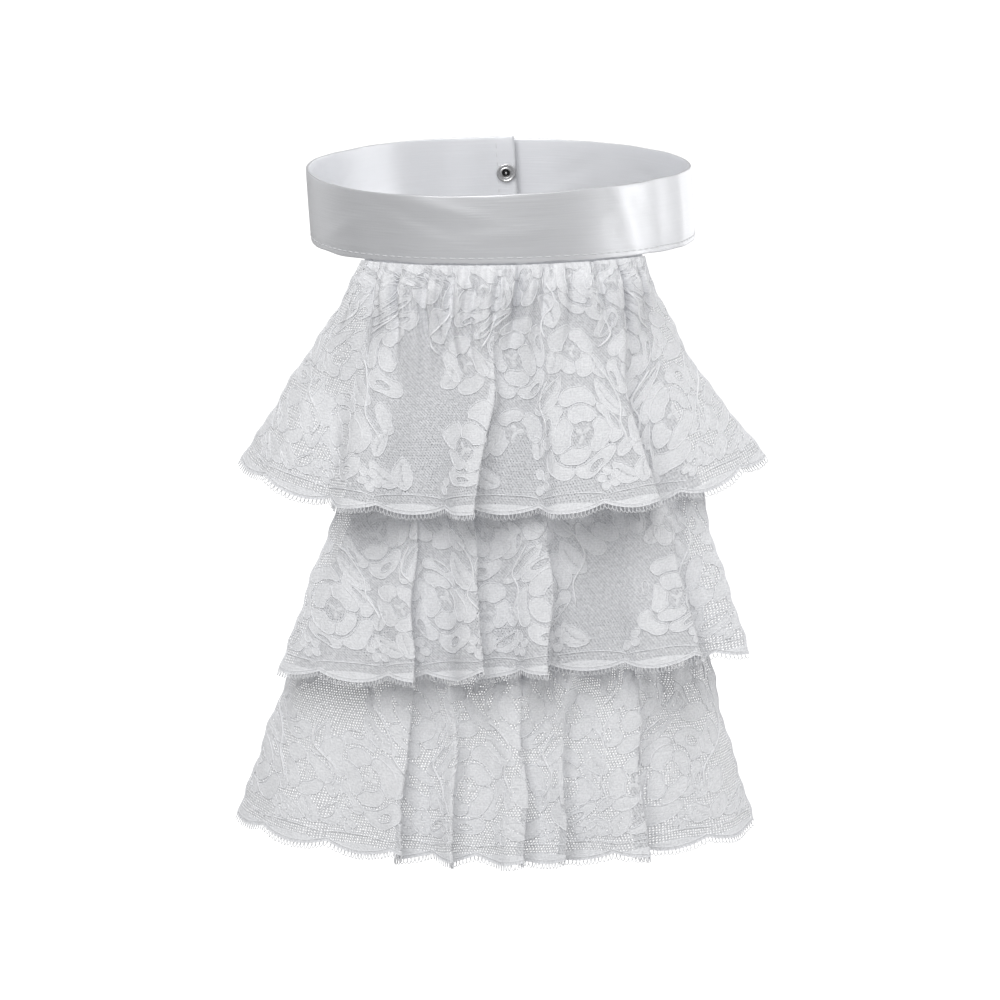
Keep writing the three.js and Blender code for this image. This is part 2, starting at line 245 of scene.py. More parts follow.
def bilinear(values, xs, ys, x, y):
    """A grid's values between its even places xs and ys."""
    i = np.clip((x - xs[0]) / (xs[1] - xs[0]), 0, len(xs) - 1.001)
    j = np.clip((y - ys[0]) / (ys[1] - ys[0]), 0, len(ys) - 1.001)
    i0, j0 = i.astype(int), j.astype(int)
    fi, fj = i - i0, j - j0
    low = lerp(values[i0, j0], values[i0 + 1, j0], fi)
    return lerp(low, lerp(values[i0, j0 + 1], values[i0 + 1, j0 + 1], fi), fj)


# ---- surfaces of the part ----


def plan_arc(left, right, sagitta):
    """Centre, radius and half angle of an arc in plan that bulges to the front."""
    half = (right - left) / 2
    radius = (half * half + sagitta * sagitta) / (2 * sagitta)
    return (left + right) / 2, radius, np.arcsin(half / radius)


def on_arc(centre, radius, front, angle, out=0.0):
    x = centre + (radius + out) * np.sin(angle)
    y = -front + radius - (radius + out) * np.cos(angle)
    return x, y


def panel_point(z, s, out=0.0):
    """A point of the base panel at height z and s from -1 to 1 across, and the way out of it."""
    row = {key: np.interp(-z, -PANEL["z"], PANEL[key]) for key in PANEL}
    centre, radius, span = plan_arc(row["left"], row["right"], row["sagitta"])
    angle = s * span
    x, y = on_arc(centre, radius, row["front"], angle, out)
    return joined(x, y, z), joined(np.sin(angle), -np.cos(angle), 0)


def band_edges(angle):
    """Heights of the band's upper and lower edge at an angle in degrees."""
    turn = np.radians(angle)
    front = np.maximum(0, -np.cos(turn))
    wave = np.where(front > 0, -FRONT_WAVE * np.sin(2 * turn), 0)
    end = END_RISE * smoothstep(angle, END_RISE_START, BAND_ENDS[1])
    upper = BAND_HEIGHT / 2 + wave + end
    lower = -BAND_HEIGHT / 2 + wave / 2 + end + LOWER_LIFT * front * front
    return upper, lower


def band_point(angle, z, out=0.0):
    """A point of the band, out from the middle of its wall."""
    tuck = smoothstep(angle, *BAND_TUCK) * (BAND_WALL + LAYER_GAP)
    radius = BAND_MIDDLE - tuck + out
    turn = np.radians(angle)
    return joined(radius * np.sin(turn) - BAND_LEAN * z, radius * np.cos(turn), z)


class Ruffle:
    """A gathered lace strip. Its flat cloth runs u along the hem and h up from the hem's line."""

    def __init__(self, name, depth, seam, hem, flare, folds, rests_on):
        self.name, self.depth, self.seam = name, depth, seam
        self.flare, self.rests_on = flare, rests_on
        fold_rows = joined(folds["x"], folds["out"], folds["share"] * SEAM_LENGTH)
        curve = catmull_rom(fold_rows, HEM_STEPS)
        left, right, front, sagitta = hem
        centre, radius, _ = plan_arc(left, right, sagitta)
        angle = np.arcsin(np.clip((curve[:, 0] - centre) / radius, -1, 1))
        self.hem = np.stack(on_arc(centre, radius, front, angle, curve[:, 1]), -1)
        self.share = np.clip(curve[:, 2] / SEAM_LENGTH, 0, 1)
        self.length = run_along(self.hem)
        self.width = self.length[-1]
        self.lay_out()

    def lay_out(self):
        """Tables between u and the pattern's own place p, nearly even along each level."""
        self.levels = np.linspace(0, PAST_HEM, LEVELS)
        self.columns = np.linspace(0, self.width, COLUMNS)
        u, drop = np.meshgrid(self.columns, self.levels, indexing="ij")
        points = self.place(u, self.height(u, drop))
        steps = np.linalg.norm(np.diff(points, axis=0), axis=-1)
        run = np.vstack([np.zeros(LEVELS), np.cumsum(steps, axis=0)])
        run *= self.width / np.interp(1, self.levels, run[-1])
        even = run - run[len(run) // 2] + self.width / 2
        self.pattern = lerp(even, u, PATTERN_PULL)
        self.across = np.linspace(-SPARE, self.width + SPARE, SPARE_COLUMNS)
        unlaid = [np.interp(self.across, column, self.columns) for column in self.pattern.T]
        self.unlaid = np.stack(unlaid, -1)

    def height(self, u, drop):
        return self.depth - drop * (self.depth - self.edge(u))

    def drop_at(self, u, h):
        """The share of the way down from the seam to the scalloped edge."""
        return np.clip((self.depth - h) / (self.depth - self.edge(u)), 0, PAST_HEM)

    def from_sides(self, p, drop):
        """How far a place in the pattern is inside the ruffle's sides."""
        left, right = (np.interp(drop, self.levels, self.pattern[end]) for end in (0, -1))
        return np.minimum(p - left, right - p)

    def pattern_at(self, u, drop):
        """The pattern's place across, and how far it is inside the ruffle's sides."""
        p = bilinear(self.pattern, self.columns, self.levels, u, drop)
        return p, self.from_sides(p, drop)

    def hem_length_at(self, p, h):
        """u for a place (p, h) in the pattern, and how far it is inside the ruffle's sides."""
        u = p
        for _ in range(4):
            drop = self.drop_at(u, h)
            u = bilinear(self.unlaid, self.across, self.levels, p, drop)
        return u, self.from_sides(p, drop)

    def edge(self, u):
        """Height of the scalloped edge over the hem's line."""
        lobe = np.abs(np.sin(np.pi * (u / SCALLOP + SCALLOP_START))) ** 0.8
        return SCALLOP_DEPTH * (1 - lobe)

    def seam_height(self, share):
        s = 2 * share - 1
        if self.seam:
            z, side_drop, tilt = self.seam
            return z - side_drop * s * s + tilt * s
        x = panel_point(np.full_like(s, PANEL["z"][1]), s)[0][..., 0]
        angle = 180 - np.degrees(np.arcsin(np.clip(x / BAND_RADIUS, -1, 1)))
        return band_edges(angle)[1] - BAND_SEAM_GAP

    def gather(self, share, drop):
        """How far the gathers stand out: two waves that fade on the way down, and crimping."""
        phase = 2 * np.pi * share
        second = rounded_ridges(GATHER_COUNTS[0] * phase + 0.9 * np.sin(3 * phase))
        main = rounded_ridges(GATHER_COUNTS[1] * phase + 1.3 + 1.2 * np.sin(2 * phase))
        waves = GATHER_SHARES[0] * second + GATHER_SHARES[1] * main
        swell = lerp(GATHER_AT_SEAM, GATHER_FULLEST, np.clip(drop / GATHER_FULL_AT, 0, 1))
        gone = GATHER_GONE_AT * (1 + 0.25 * np.sin(5 * phase + 0.7))
        fade = 1 - smoothstep(drop, GATHER_FULL_AT, gone)
        ends = smoothstep(np.minimum(share, 1 - share), 0, 0.05)
        crimp = CRIMP * np.sin(CRIMP_COUNT * phase + 2.1 * np.sin(4 * phase))
        return (swell * fade * (1 + waves) + crimp * (1 - smoothstep(drop, *CRIMP_ENDS))) * ends

    def ripple(self, u, drop):
        """Small unevenness of the hanging cloth, most at the hem."""
        turn = 2 * np.pi * u
        wave = np.sin(turn / SCALLOP + 0.8) + 0.6 * np.sin(turn / 16.3 + 6 * drop)
        return RIPPLE * wave * smoothstep(drop, 0.35, 1)

    def side_sway(self, u, h):
        """How far the loose side edges wander to the left and right."""
        from_side = np.minimum(u, self.width - u)
        length = np.where(u < self.width / 2, 3.3, 4.1)
        sway = 0.4 * np.sin(h / length) + 0.2 * np.sin(h / 1.3 + 1) + 0.5 * np.sin(h / 8.3)
        return sway * bell(from_side, SWAY_REACH) * smoothstep(self.depth - h, 2, 12)

    def wander(self, u, h, drop):
        """How far the folds drift aside on their way down. At seam and hem it is nothing."""
        from_side = np.minimum(u, self.width - u)
        between = np.sin(np.pi * np.clip(drop, 0, 1)) * smoothstep(from_side, 0, 25)
        return between * (FOLD_WANDER * np.sin(h / 12 + u / 23) + 0.5 * np.sin(h / 5.5 + u / 9))

    def place(self, u, h):
        """The point in space of the flat cloth's point (u, h)."""
        u, h = np.broadcast_arrays(np.asarray(u, float), np.asarray(h, float))
        drop = self.drop_at(u, h)
        share = np.interp(u, self.length, self.share)
        hem = np.stack([np.interp(u, self.length, self.hem[:, k]) for k in (0, 1)], -1)
        top, normal = panel_point(self.seam_height(share), 2 * share - 1, CLOTH + SEAM_GAP)
        cut = self.depth - self.edge(u)
        fall = np.sqrt(cut**2 - ((hem - top[..., :2]) ** 2).sum(-1))
        spread = (drop ** lerp(*self.flare, share))[..., None]
        push = (self.gather(share, drop) + self.ripple(u, drop))[..., None]
        flat = lerp(top[..., :2], hem, spread) + normal[..., :2] * push
        flat[..., 0] += self.side_sway(u, h)
        aside = joined(-normal[..., 1], normal[..., 0])
        flat += aside * self.wander(u, h, drop)[..., None]
        return np.concatenate([flat, (top[..., 2] - fall * drop)[..., None]], -1)

    def normal(self, u, h):
        """The direction out of the cloth at (u, h)."""
        step = 0.25
        across = self.place(u + step, h) - self.place(u - step, h)
        up = self.place(u, h + step) - self.place(u, h - step)
        return unit(np.cross(across, up))

    def over(self, u, h, lift):
        """Points over the cloth at (u, h), and the directions out of it."""
        normal = self.normal(u, h)
        return self.place(u, h) + normal * lift, normal


# ---- mesh making ----


def linked(name, data):
    item = bpy.data.objects.new(name, data)
    bpy.context.scene.collection.objects.link(item)
    return item


def make_mesh(name, points, quads, tris=(), flat=None, uv=None, materials=(), index=0):
    """An object from points in millimetres. The flat cloth's place is an attribute, in metres."""
    quads, tris = np.reshape(quads, (-1, 4)), np.reshape(tris, (-1, 3)).astype(int)
    corners = np.concatenate([quads.ravel(), tris.ravel()])
    sizes = np.repeat([4, 3], [len(quads), len(tris)])
    mesh = bpy.data.meshes.new(name)
    mesh.vertices.add(len(points))
    mesh.loops.add(len(corners))
    mesh.polygons.add(len(sizes))

    def fill(items, key, values, kind=np.int32):
        items.foreach_set(key, np.asarray(values).astype(kind).ravel())

    fill(mesh.vertices, "co", points * MM, np.float32)
    fill(mesh.loops, "vertex_index", corners)
    fill(mesh.polygons, "loop_start", np.cumsum(sizes) - sizes)
    fill(mesh.polygons, "use_smooth", sizes > 0, bool)
    fill(mesh.polygons, "material_index", index + 0 * sizes)
    for material in materials:
        mesh.materials.append(MATERIALS[material])
    mesh.update(calc_edges=True)
    if flat is not None:
        attribute = mesh.attributes.new("flat", "FLOAT_VECTOR", "POINT")
        fill(attribute.data, "vector", joined(*flat.T * MM, 0), np.float32)
    if uv is not None:
        fill(mesh.uv_layers.new(name="OFBake").data, "uv", uv[corners], np.float32)
    return linked(name, mesh)


def grid_quads(columns, rows, wrap=False, close=False):
    """Faces of a grid of points, a column after another. With wrap, a column closes on itself.
    With close, the last one is joined to the first."""
    last, lowest = columns if close else columns - 1, rows if wrap else rows - 1
    i, j = np.meshgrid(np.arange(last), np.arange(lowest), indexing="ij")
    after, below = (i + 1) % columns, (j + 1) % rows
    quads = [i * rows + j, i * rows + below, after * rows + below, after * rows + j]
    return np.stack(quads, -1).reshape(-1, 4)


def thread_piece(name, lines, material, sides=4):
    """Round threads along lines, each (points, outward, closed, radius), as one object."""
    points, quads, along, start = [], [], [], 0
    angles = 2 * np.pi * (np.arange(sides) + 0.5) / sides
    for path, out, closed, radius in lines:
        if closed:
            tangent = np.roll(path, -1, 0) - np.roll(path, 1, 0)
        else:
            tangent = np.gradient(path, axis=0)
        side = unit(np.cross(unit(tangent), out))
        up = unit(np.cross(side, unit(tangent)))
        ring = np.cos(angles)[:, None] * side[:, None] + np.sin(angles)[:, None] * up[:, None]
        reach = np.full(len(path), float(radius))
        if not closed:
            reach[[0, -1]] *= THREAD_TIP
        points.append((path[:, None] + ring * reach[:, None, None]).reshape(-1, 3))
        along.append(np.repeat(run_along(path), sides))
        quads.append(grid_quads(len(path), sides, wrap=True, close=closed) + start)
        start += len(path) * sides
    along = np.concatenate(along)
    return make_mesh(name, np.vstack(points), np.vstack(quads),
                     flat=joined(along, 0), materials=(material,))


def resample(line, step, closed):
    """The same line with evenly spaced points."""
    path = np.vstack([line, line[:1]]) if closed else line
    run = run_along(path)
    count = max(4, int(round(run[-1] / step)))
    at = np.linspace(0, run[-1], count + 1)[: count if closed else None]
    return np.stack([np.interp(at, run, column) for column in path.T], -1)


# ---- lace chart ----
# A shape is (kind, outline). Only some kinds have a cord along their outline.

CLOTH_KINDS = {"cloth": 1, "bar": 1, "open": -1, "slit": -1}  # 1 adds dense cloth, -1 is net
CORD_KINDS = {
    "cloth": CORD_RADIUS, "open": CORD_RADIUS, "line": CORD_RADIUS, "scroll": SCROLL_RADIUS,
}
OPEN_ENDED = ("line", "scroll")


DENT_WIDTH = 0.22  # of half a petal


def petal(inner, outer, spread, turn, twist, dent):
    """A petal between two radii, swept round by twist on its way out, with a dented rim."""
    phi = np.linspace(-1, 1, 15)
    rim = outer * (1 - 0.1 * phi**2 - 0.12 * phi**8 - dent * bell(phi, DENT_WIDTH))
    foot_phi = np.linspace(0.86, -0.86, 6)
    radius = np.concatenate([rim, np.full_like(foot_phi, inner)])
    angle = turn + spread * np.concatenate([phi, foot_phi]) + twist * radius / outer
    return joined(radius * np.cos(angle), radius * np.sin(angle))


def ellipse(x, h, reach, way, long, short, turn=0.0, points=12):
    """An ellipse out from (x, h) in a direction, turned from that direction."""
    t = np.linspace(0, 2 * np.pi, points, endpoint=False)
    c, s = math.cos(way + turn), math.sin(way + turn)
    a, b = long * np.cos(t), short * np.sin(t)
    x, h = x + reach * math.cos(way), h + reach * math.sin(way)
    return joined(x + c * a - s * b, h + s * a + c * b)


# Rings of petals: how many, their inner and outer radius as shares, their twist and their dent.
ROSE_RINGS = ((5, 0.66, 1.0, 0.35, 0.04), (4, 0.27, 0.64, -0.3, 0.03))
PETAL_GAP = 0.2
PETAL_UNEVEN = 0.07
BIG_ROSE = 10  # a smaller one has the inner ring alone
EYED_PETALS = (0, 2, 3)  # of the outer ring
EYE = (0.84, 0.2, 0.085)  # its place and half sizes, as shares of the rose
HEART_BAR = (0.11, 0.1, 0.05)  # the same for the three bars in the heart
HEART_TURN = 2.2  # from one bar to the next
SLIT = 0.3  # half the width of a leaf's midrib
SLIT_ENDS = (0.12, 0.82)  # shares of the leaf's length
LEAF_NET = 0.82  # share of a half-open leaf's half width that is net
LEAF_LOBES = (0.09, 11)  # how deep, and how many half waves
BLOSSOM_PETAL = (0.6, 0.4, 0.33)  # its place and half sizes, as shares of the blossom


def rose(x, h, size, turn):
    """An open rose: rings of petals round a heart of bars. Outer petals can have an eye of net."""
    big = size > BIG_ROSE
    whole = size if big else size / ROSE_RINGS[1][2]
    shapes = []
    for ring, (count, inner, outer, twist, dent) in enumerate(ROSE_RINGS[0 if big else 1:]):
        for k in range(count):
            around = turn + 2 * np.pi * (k + 0.5 * ring) / count
            spread = np.pi / count - PETAL_GAP / 2 / (whole * (inner + outer) / 2)
            reach = outer * whole * (1 + PETAL_UNEVEN * math.sin(3.1 * k + 5 * turn))
            outline = petal(inner * whole, reach, spread, around, twist, dent)
            shapes.append(("cloth", outline + (x, h)))
            if big and ring == 0 and k in EYED_PETALS:
                at, long, short = (whole * share for share in EYE)
                way = around + twist * EYE[0]
                shapes.append(("open", ellipse(x, h, at, way, long, short, np.pi / 2)))
    for k in range(3):
        at, long, short = (whole * share for share in HEART_BAR)
        shapes.append(("bar", ellipse(x, h, at, turn + HEART_TURN * k, long, short)))
    return shapes


def leaf(x, h, length, width, turn, bend, half_open=0):
    """A lobed leaf with a slit for its midrib. With half_open, one half is net inside its cord."""
    def rib(t):
        return joined(length * t, bend * length * np.sin(np.pi * t))

    t = np.linspace(0, 1, 22)
    half = width * np.sin(np.pi * t**0.85) ** 0.75
    half = half * (1 + LEAF_LOBES[0] * np.sin(LEAF_LOBES[1] * np.pi * t))
    half = joined(0, half)
    near, far = rib(t) + half, rib(t) - half
    shapes = [("cloth", np.vstack([near, far[-2:0:-1]]))]
    if half_open:
        inner = lerp(rib(t), near if half_open > 0 else far, LEAF_NET)[3:-3]
        shapes.append(("open", np.vstack([inner, rib(t)[3:-3][::-1]])))
    else:
        vein = rib(np.linspace(*SLIT_ENDS, 9))
        shapes.append(("slit", np.vstack([vein + (0, SLIT), vein[::-1] - (0, SLIT)])))
    c, s = math.cos(turn), math.sin(turn)
    return [(kind, points @ np.array([[c, s], [-s, c]]) + (x, h)) for kind, points in shapes]


def blossom(x, h, size, turn):
    """A small flower of five round petals."""
    at, long, short = (size * share for share in BLOSSOM_PETAL)
    ways = turn + 2 * np.pi * np.arange(5) / 5
    return [("cloth", ellipse(x, h, at, way, long, short)) for way in ways]


ROSES = table(
    "x h size turn",
    (0, 27, 15.2, 8), (26, 53.5, 15.0, 50), (0, 80, 14.2, 20),
    (26.3, 27.5, 9.2, 30), (-0.5, 54, 9.2, 10), (26, 80, 9, 40),
)
LEAVES = table(
    "x h length width turn bend half_open",
    (18.6, 34.5, 16, 3.3, 136, 0.08, 0),
    (-18.6, 34.5, 16, 3.3, 44, -0.08, 1),
    (7.4, 61.5, 16, 3.3, 44, 0.08, -1),
    (-7.4, 61.5, 16, 3.3, 136, -0.08, 0),
    (26, 9.8, 10, 3.6, 91, 0.02, 0),
    (24, 11.5, 12, 3.0, 147, 0.12, 0),
    (28, 11.5, 12, 3.0, 33, -0.12, 1),
    (15.6, 19.5, 8, 2.6, 62, 0.12, 0),
    (36.8, 19.5, 8, 2.6, 118, -0.12, 0),
    (11.5, 47, 9, 2.8, 118, 0.14, 0),
    (-11.5, 47, 9, 2.8, 62, -0.14, 0),
    (37.5, 72.5, 9, 2.8, 62, 0.14, 0),
    (14.5, 72.5, 9, 2.8, 118, -0.14, 0),
)
BLOSSOMS = table("x h size turn", (13, 12.6, 4.4, 18), (39, 12.6, 4.4, 54))
STEMS = (
    ((16.5, 24), (14.2, 31), (17.5, 38.5), (13.5, 46), (9.5, 50)),
    ((35.5, 24), (38.5, 31), (35.5, 38), (39.5, 45)),
    ((42, 58), (38.5, 63), (41.5, 70), (38, 76)),
    ((9.5, 58), (13.5, 63), (10.5, 70)),
)


def chart(repeat):
    """One repeat's shapes, from a scallop's middle to the middle of the next but one."""
    shapes = []
    for x, h, size, turn in rows_of(ROSES):
        shapes += rose(x, h, size, math.radians(turn + 47 * repeat))
    for x, h, length, width, turn, bend, half_open in rows_of(LEAVES):
        shapes += leaf(x, h, length, width, math.radians(turn), bend, half_open)
    for x, h, size, turn in rows_of(BLOSSOMS):
        shapes += blossom(x, h, size, math.radians(turn + 30 * repeat))
    return shapes + [("scroll", catmull_rom(np.array(points, float), 8)) for points in STEMS]


# The border's two forms: half their length, their foot over the picots, their rise and its span.
CRESCENT = {"half": 10.8, "foot": 0.6, "rise": 2.9, "span": 22}
ARCH = {"half": 12.6, "foot": 2.4, "rise": 4.2, "span": 26}


def border(ruffle, middle):
    """The border over one scallop: a crescent of dense cloth with a cord arched over it."""
    x = np.linspace(-CRESCENT["half"], CRESCENT["half"], 19)
    foot = ruffle.edge(middle + x) + PICOT + CRESCENT["foot"]
    rise = CRESCENT["rise"] * np.cos(np.pi * x / CRESCENT["span"]) ** 0.8
    low = joined(middle + x, foot)
    high = joined(middle + x, foot + rise)
    x = np.linspace(-ARCH["half"], ARCH["half"], 21)
    rise = ARCH["foot"] + ARCH["rise"] * np.cos(np.pi * x / ARCH["span"]) ** 0.7
    arch = joined(middle + x, ruffle.edge(middle + x) + PICOT + rise)
    return [("bar", np.vstack([low, high[::-1]])), ("line", arch)]


def drifted(points):
    """The flat cloth's points, moved a little so that the motifs don't stand in rows."""
    u, h = points.T
    rise = smoothstep(h, 10, 30)
    across = 1.8 * np.sin(2 * np.pi * h / 37 + u / 19) + 1.1 * np.sin(2 * np.pi * h / 23 + 1)
    up = 2.2 * np.sin(2 * np.pi * u / 71 + 1.2) + 1.4 * np.sin(2 * np.pi * u / 43 + h / 17)
    return points + joined(across * rise, up * rise)


# Stretches of net with no motifs: where they are at the hem (x), how high, and their half sizes.
# Several lie in the fold valleys or behind a fold's edge, where the net's lower tone darkens them:
# painted shade set into the lace's pattern.
BARE_NET_AS_SHADE = {
    "tier_top": table("x h wide high", (-23, 36, 11, 27), (2, 16, 9, 9)),
    "tier_middle": table("x h wide high", (31, 27, 13, 20), (-40, 56, 10, 9)),
    "tier_bottom": table("x h wide high", (-48, 52, 14, 13), (72, 34, 10, 16), (4, 20, 6, 12)),
}


def bare(ruffle, points):
    """Whether a shape's middle is in one of the ruffle's bare stretches."""
    middle = points.mean(0)
    for x, h, wide, high in rows_of(BARE_NET_AS_SHADE[ruffle.name]):
        u = ruffle.length[np.argmin(np.abs(ruffle.hem[:, 0] - x))]
        if ((middle[0] - u) / wide) ** 2 + ((middle[1] - h) / high) ** 2 < 1:
            return True
    return False


def laid_out(ruffle, shift):
    """All the shapes of a ruffle's lace, in its flat cloth."""
    shapes = []
    for repeat in range(-1, int(ruffle.width // CHART_WIDTH) + 2):
        moved = (CHART_START + shift + repeat * CHART_WIDTH, 0)
        shapes += [(kind, drifted(points + moved)) for kind, points in chart(repeat)]
    # Motifs are left out of the bare stretches, several of which lie in the fold valleys: painted
    # shade.
    shapes = [shape for shape in shapes if not bare(ruffle, shape[1])]
    for count in range(int(ruffle.width // SCALLOP) + 2):
        shapes += border(ruffle, CHART_START + count * SCALLOP)
    return [s for s in shapes if s[1][:, 0].max() > 0 and s[1][:, 0].min() < ruffle.width]


def inside_distance(points, outline):
    """How far points lie inside a closed outline; outside it is negative."""
    a, b = outline, np.roll(outline, -1, 0)
    edge = b - a
    away = points[:, None] - a[None]
    t = np.clip((away * edge).sum(-1) / np.maximum((edge**2).sum(-1), 1e-9), 0, 1)
    distance = np.sqrt(((away - t[..., None] * edge) ** 2).sum(-1)).min(1)
    px, py = points[:, :1], points[:, 1:]
    crosses = (a[:, 1] > py) != (b[:, 1] > py)
    rise = np.where(b[:, 1] == a[:, 1], 1e-9, b[:, 1] - a[:, 1])
    beyond = px < a[:, 0] + (py - a[:, 1]) * edge[:, 0] / rise
    return np.where((crosses & beyond).sum(1) % 2 == 1, distance, -distance)


def lace_field(ruffle, shapes, u, p, h, inside):
    """How far each point of the grid lies inside dense cloth, in millimetres."""
    above = h - ruffle.edge(u) - PICOT
    field = HEM_BAND / 2 - np.abs(above - HEM_BAND / 2)
    field = np.maximum(field, SEAM_EDGE - (ruffle.depth - h))
    field = np.maximum(field, SIDE_EDGE - inside)
    for wanted, sign in CLOTH_KINDS.items():
        for kind, outline in shapes:
            if kind != wanted:
                continue
            low, high = outline.min(0) - FIELD_REACH, outline.max(0) + FIELD_REACH
            near = (p > low[0]) & (p < high[0]) & (h > low[1]) & (h < high[1])
            if near.any():
                depth = inside_distance(joined(p[near], h[near]), outline)
                combine = np.maximum if sign > 0 else np.minimum
                field[near] = combine(field[near], sign * depth)
    return np.minimum(field, above)


def clipped(points, field, tris):
    """The part of a triangle mesh where the field is positive, cut through its triangles."""
    inside = field > 0
    count = inside[tris].sum(1)
    parts = [tris[count == 3]]
    cuts, owners = [], []
    for wanted, odd_one in ((1, True), (2, False)):
        some = tris[count == wanted]
        first = np.argmax(inside[some] == odd_one, axis=1)
        turned = np.take_along_axis(some, (first[:, None] + np.arange(3)) % 3, 1)
        cuts += [turned[:, [0, 1]], turned[:, [0, 2]]]
        owners.append(turned)
    keys, where = np.unique(np.sort(np.vstack(cuts), axis=1), axis=0, return_inverse=True)
    where = where.reshape(-1) + len(points)
    t = field[keys[:, 0]] / (field[keys[:, 0]] - field[keys[:, 1]])
    added = lerp(points[keys[:, 0]], points[keys[:, 1]], t[:, None])
    one, two = len(owners[0]), len(owners[1])
    ends = np.split(where, [one, 2 * one, 2 * one + two])
    parts.append(joined(owners[0][:, 0], ends[0], ends[1]))
    parts.append(joined(ends[2], owners[1][:, 1], owners[1][:, 2]))
    parts.append(joined(ends[2], owners[1][:, 2], ends[3]))
    kept = np.vstack(parts)
    used, renumbered = np.unique(kept, return_inverse=True)
    return np.vstack([points, added])[used], renumbered.reshape(-1, 3)


def net(ruffle, depth_at):
    """A hexagonal net over the flat cloth where it isn't dense: its flat points, quads and tris.

    A crossing of three threads is a small triangle, with a corner between each two of them."""
    pitch, mitre = NET_PITCH, NET_THREAD / 2 / math.sin(math.pi / 3)
    side = pitch / math.sqrt(3)
    columns = int(ruffle.width / pitch) + 2
    rows = int(ruffle.depth / (1.5 * side)) + 2
    c, j = np.meshgrid(np.arange(columns), np.arange(rows), indexing="ij")
    odd = j % 2
    crossing_a = joined(pitch * (c + 0.5 * odd), 1.5 * side * j)
    ways = np.array([(0.0, 1.0), (-math.sqrt(0.75), -0.5), (math.sqrt(0.75), -0.5)])
    crossing_b = crossing_a + side * ways[0]
    crossings = np.concatenate([crossing_a.reshape(-1, 2), crossing_b.reshape(-1, 2)])
    rng = np.random.default_rng(11)
    crossings = crossings + rng.normal(0, NET_UNEVEN * pitch, crossings.shape)
    crossings += NET_DRIFT * np.sin(crossings[:, ::-1] / (7.0, 9.0) + crossings / 13.0)
    signs = np.repeat([-1.0, 1.0], columns * rows)
    corners = crossings[:, None] + mitre * signs[:, None, None] * ways[None]
    h = crossings[:, 1]
    u, inside = ruffle.hem_length_at(crossings[:, 0], h)
    dense = depth_at(u, h)
    above = h - ruffle.edge(u) - PICOT
    fits = (above > 0.1) & (h < ruffle.depth - SIDE_CLEAR) & (inside > SIDE_CLEAR)
    quads = []
    for k, (to_c, to_j) in enumerate(((c, j), (c - 1 + odd, j - 1), (c + odd, j - 1))):
        there = (to_c >= 0) & (to_c < columns) & (to_j >= 0)
        a = (c * rows + j)[there]
        b = (to_c * rows + to_j)[there] + columns * rows
        keep = fits[a] & fits[b] & (np.minimum(dense[a], dense[b]) < NET_OVERLAP)
        a, b = 3 * a[keep], 3 * b[keep]
        k1, k2 = (k + 1) % 3, (k + 2) % 3
        quads.append(joined(a + k1, a + k2, b + k1, b + k2))
    quads = np.vstack(quads)
    tris = 3 * np.unique(quads // 3)[:, None] + np.arange(3)
    corner = np.concatenate([quads.ravel(), tris.ravel()])
    used, renumbered = np.unique(corner, return_inverse=True)
    quads, tris = np.split(renumbered.reshape(-1), [quads.size])
    flat = corners.reshape(-1, 2)[used]
    return flat, facing_out(flat, quads.reshape(-1, 4)), facing_out(flat, tris.reshape(-1, 3))


def facing_out(flat, faces):
    """The same faces, all wound one way in the flat cloth."""
    x, y = flat[faces, 0], flat[faces, 1]
    area = (x * np.roll(y, -1, 1) - y * np.roll(x, -1, 1)).sum(1)
    return np.where((area > 0)[:, None], faces, faces[:, ::-1])


def lace_piece(ruffle, shapes):
    """The ruffle's lace: dense cloth cut to the chart's shapes, and the net between them."""
    columns = int(round(ruffle.width / LACE_STEP[0]))
    rows = int(round(ruffle.depth / LACE_STEP[1]))
    across, down = np.linspace(0, ruffle.width, columns + 1), np.linspace(0, 1, rows + 1)
    u, drop = np.meshgrid(across, down, indexing="ij")
    h = ruffle.height(u, drop)
    p, inside = ruffle.pattern_at(u, drop)
    field = lace_field(ruffle, shapes, u, p, h, inside)

    def depth_at(at_u, at_h):
        return bilinear(field, across, down, at_u, ruffle.drop_at(at_u, at_h))

    quads = grid_quads(columns + 1, rows + 1)
    other = (np.arange(len(quads)) // rows + np.arange(len(quads)) % rows) % 2 == 0
    tris = np.vstack([
        quads[other][:, [0, 1, 2]], quads[other][:, [0, 2, 3]],
        quads[~other][:, [0, 1, 3]], quads[~other][:, [1, 2, 3]],
    ])
    grid = joined(u.ravel(), h.ravel(), p.ravel(), field.ravel())
    cloth, cloth_tris = clipped(grid, field.ravel(), tris)
    cloth_tris = facing_out(cloth[:, :2], cloth_tris)
    body = np.minimum(np.clip(cloth[:, 3], 0, None) * 0.3, CLOTH_BODY)
    net_flat, net_quads, knots = net(ruffle, depth_at)
    flat = np.vstack([cloth[:, 2:0:-1], net_flat])
    along_hem = np.concatenate([cloth[:, 0], ruffle.hem_length_at(*net_flat.T)[0]])
    out = np.concatenate([body, np.full(len(net_flat), NET_SINK)])
    uv = flat / (ruffle.width, ruffle.depth) * (UV_WHOLE, UV_HALF) + UV_EDGE
    uv[len(cloth):, 1] += 0.5
    index = np.repeat([1, 0, 1], [len(net_quads), len(cloth_tris), len(knots)])
    piece = make_mesh(
        "lace_" + ruffle.name, ruffle.over(along_hem, flat[:, 1], out[:, None])[0],
        net_quads + len(cloth), np.vstack([cloth_tris, knots + len(cloth)]), flat=flat, uv=uv,
        materials=("lace", "net"), index=index,
    )
    mean_width = float(np.mean(p[-1] - p[0]))
    return piece, mean_width * float(np.mean(ruffle.depth - ruffle.edge(u)))


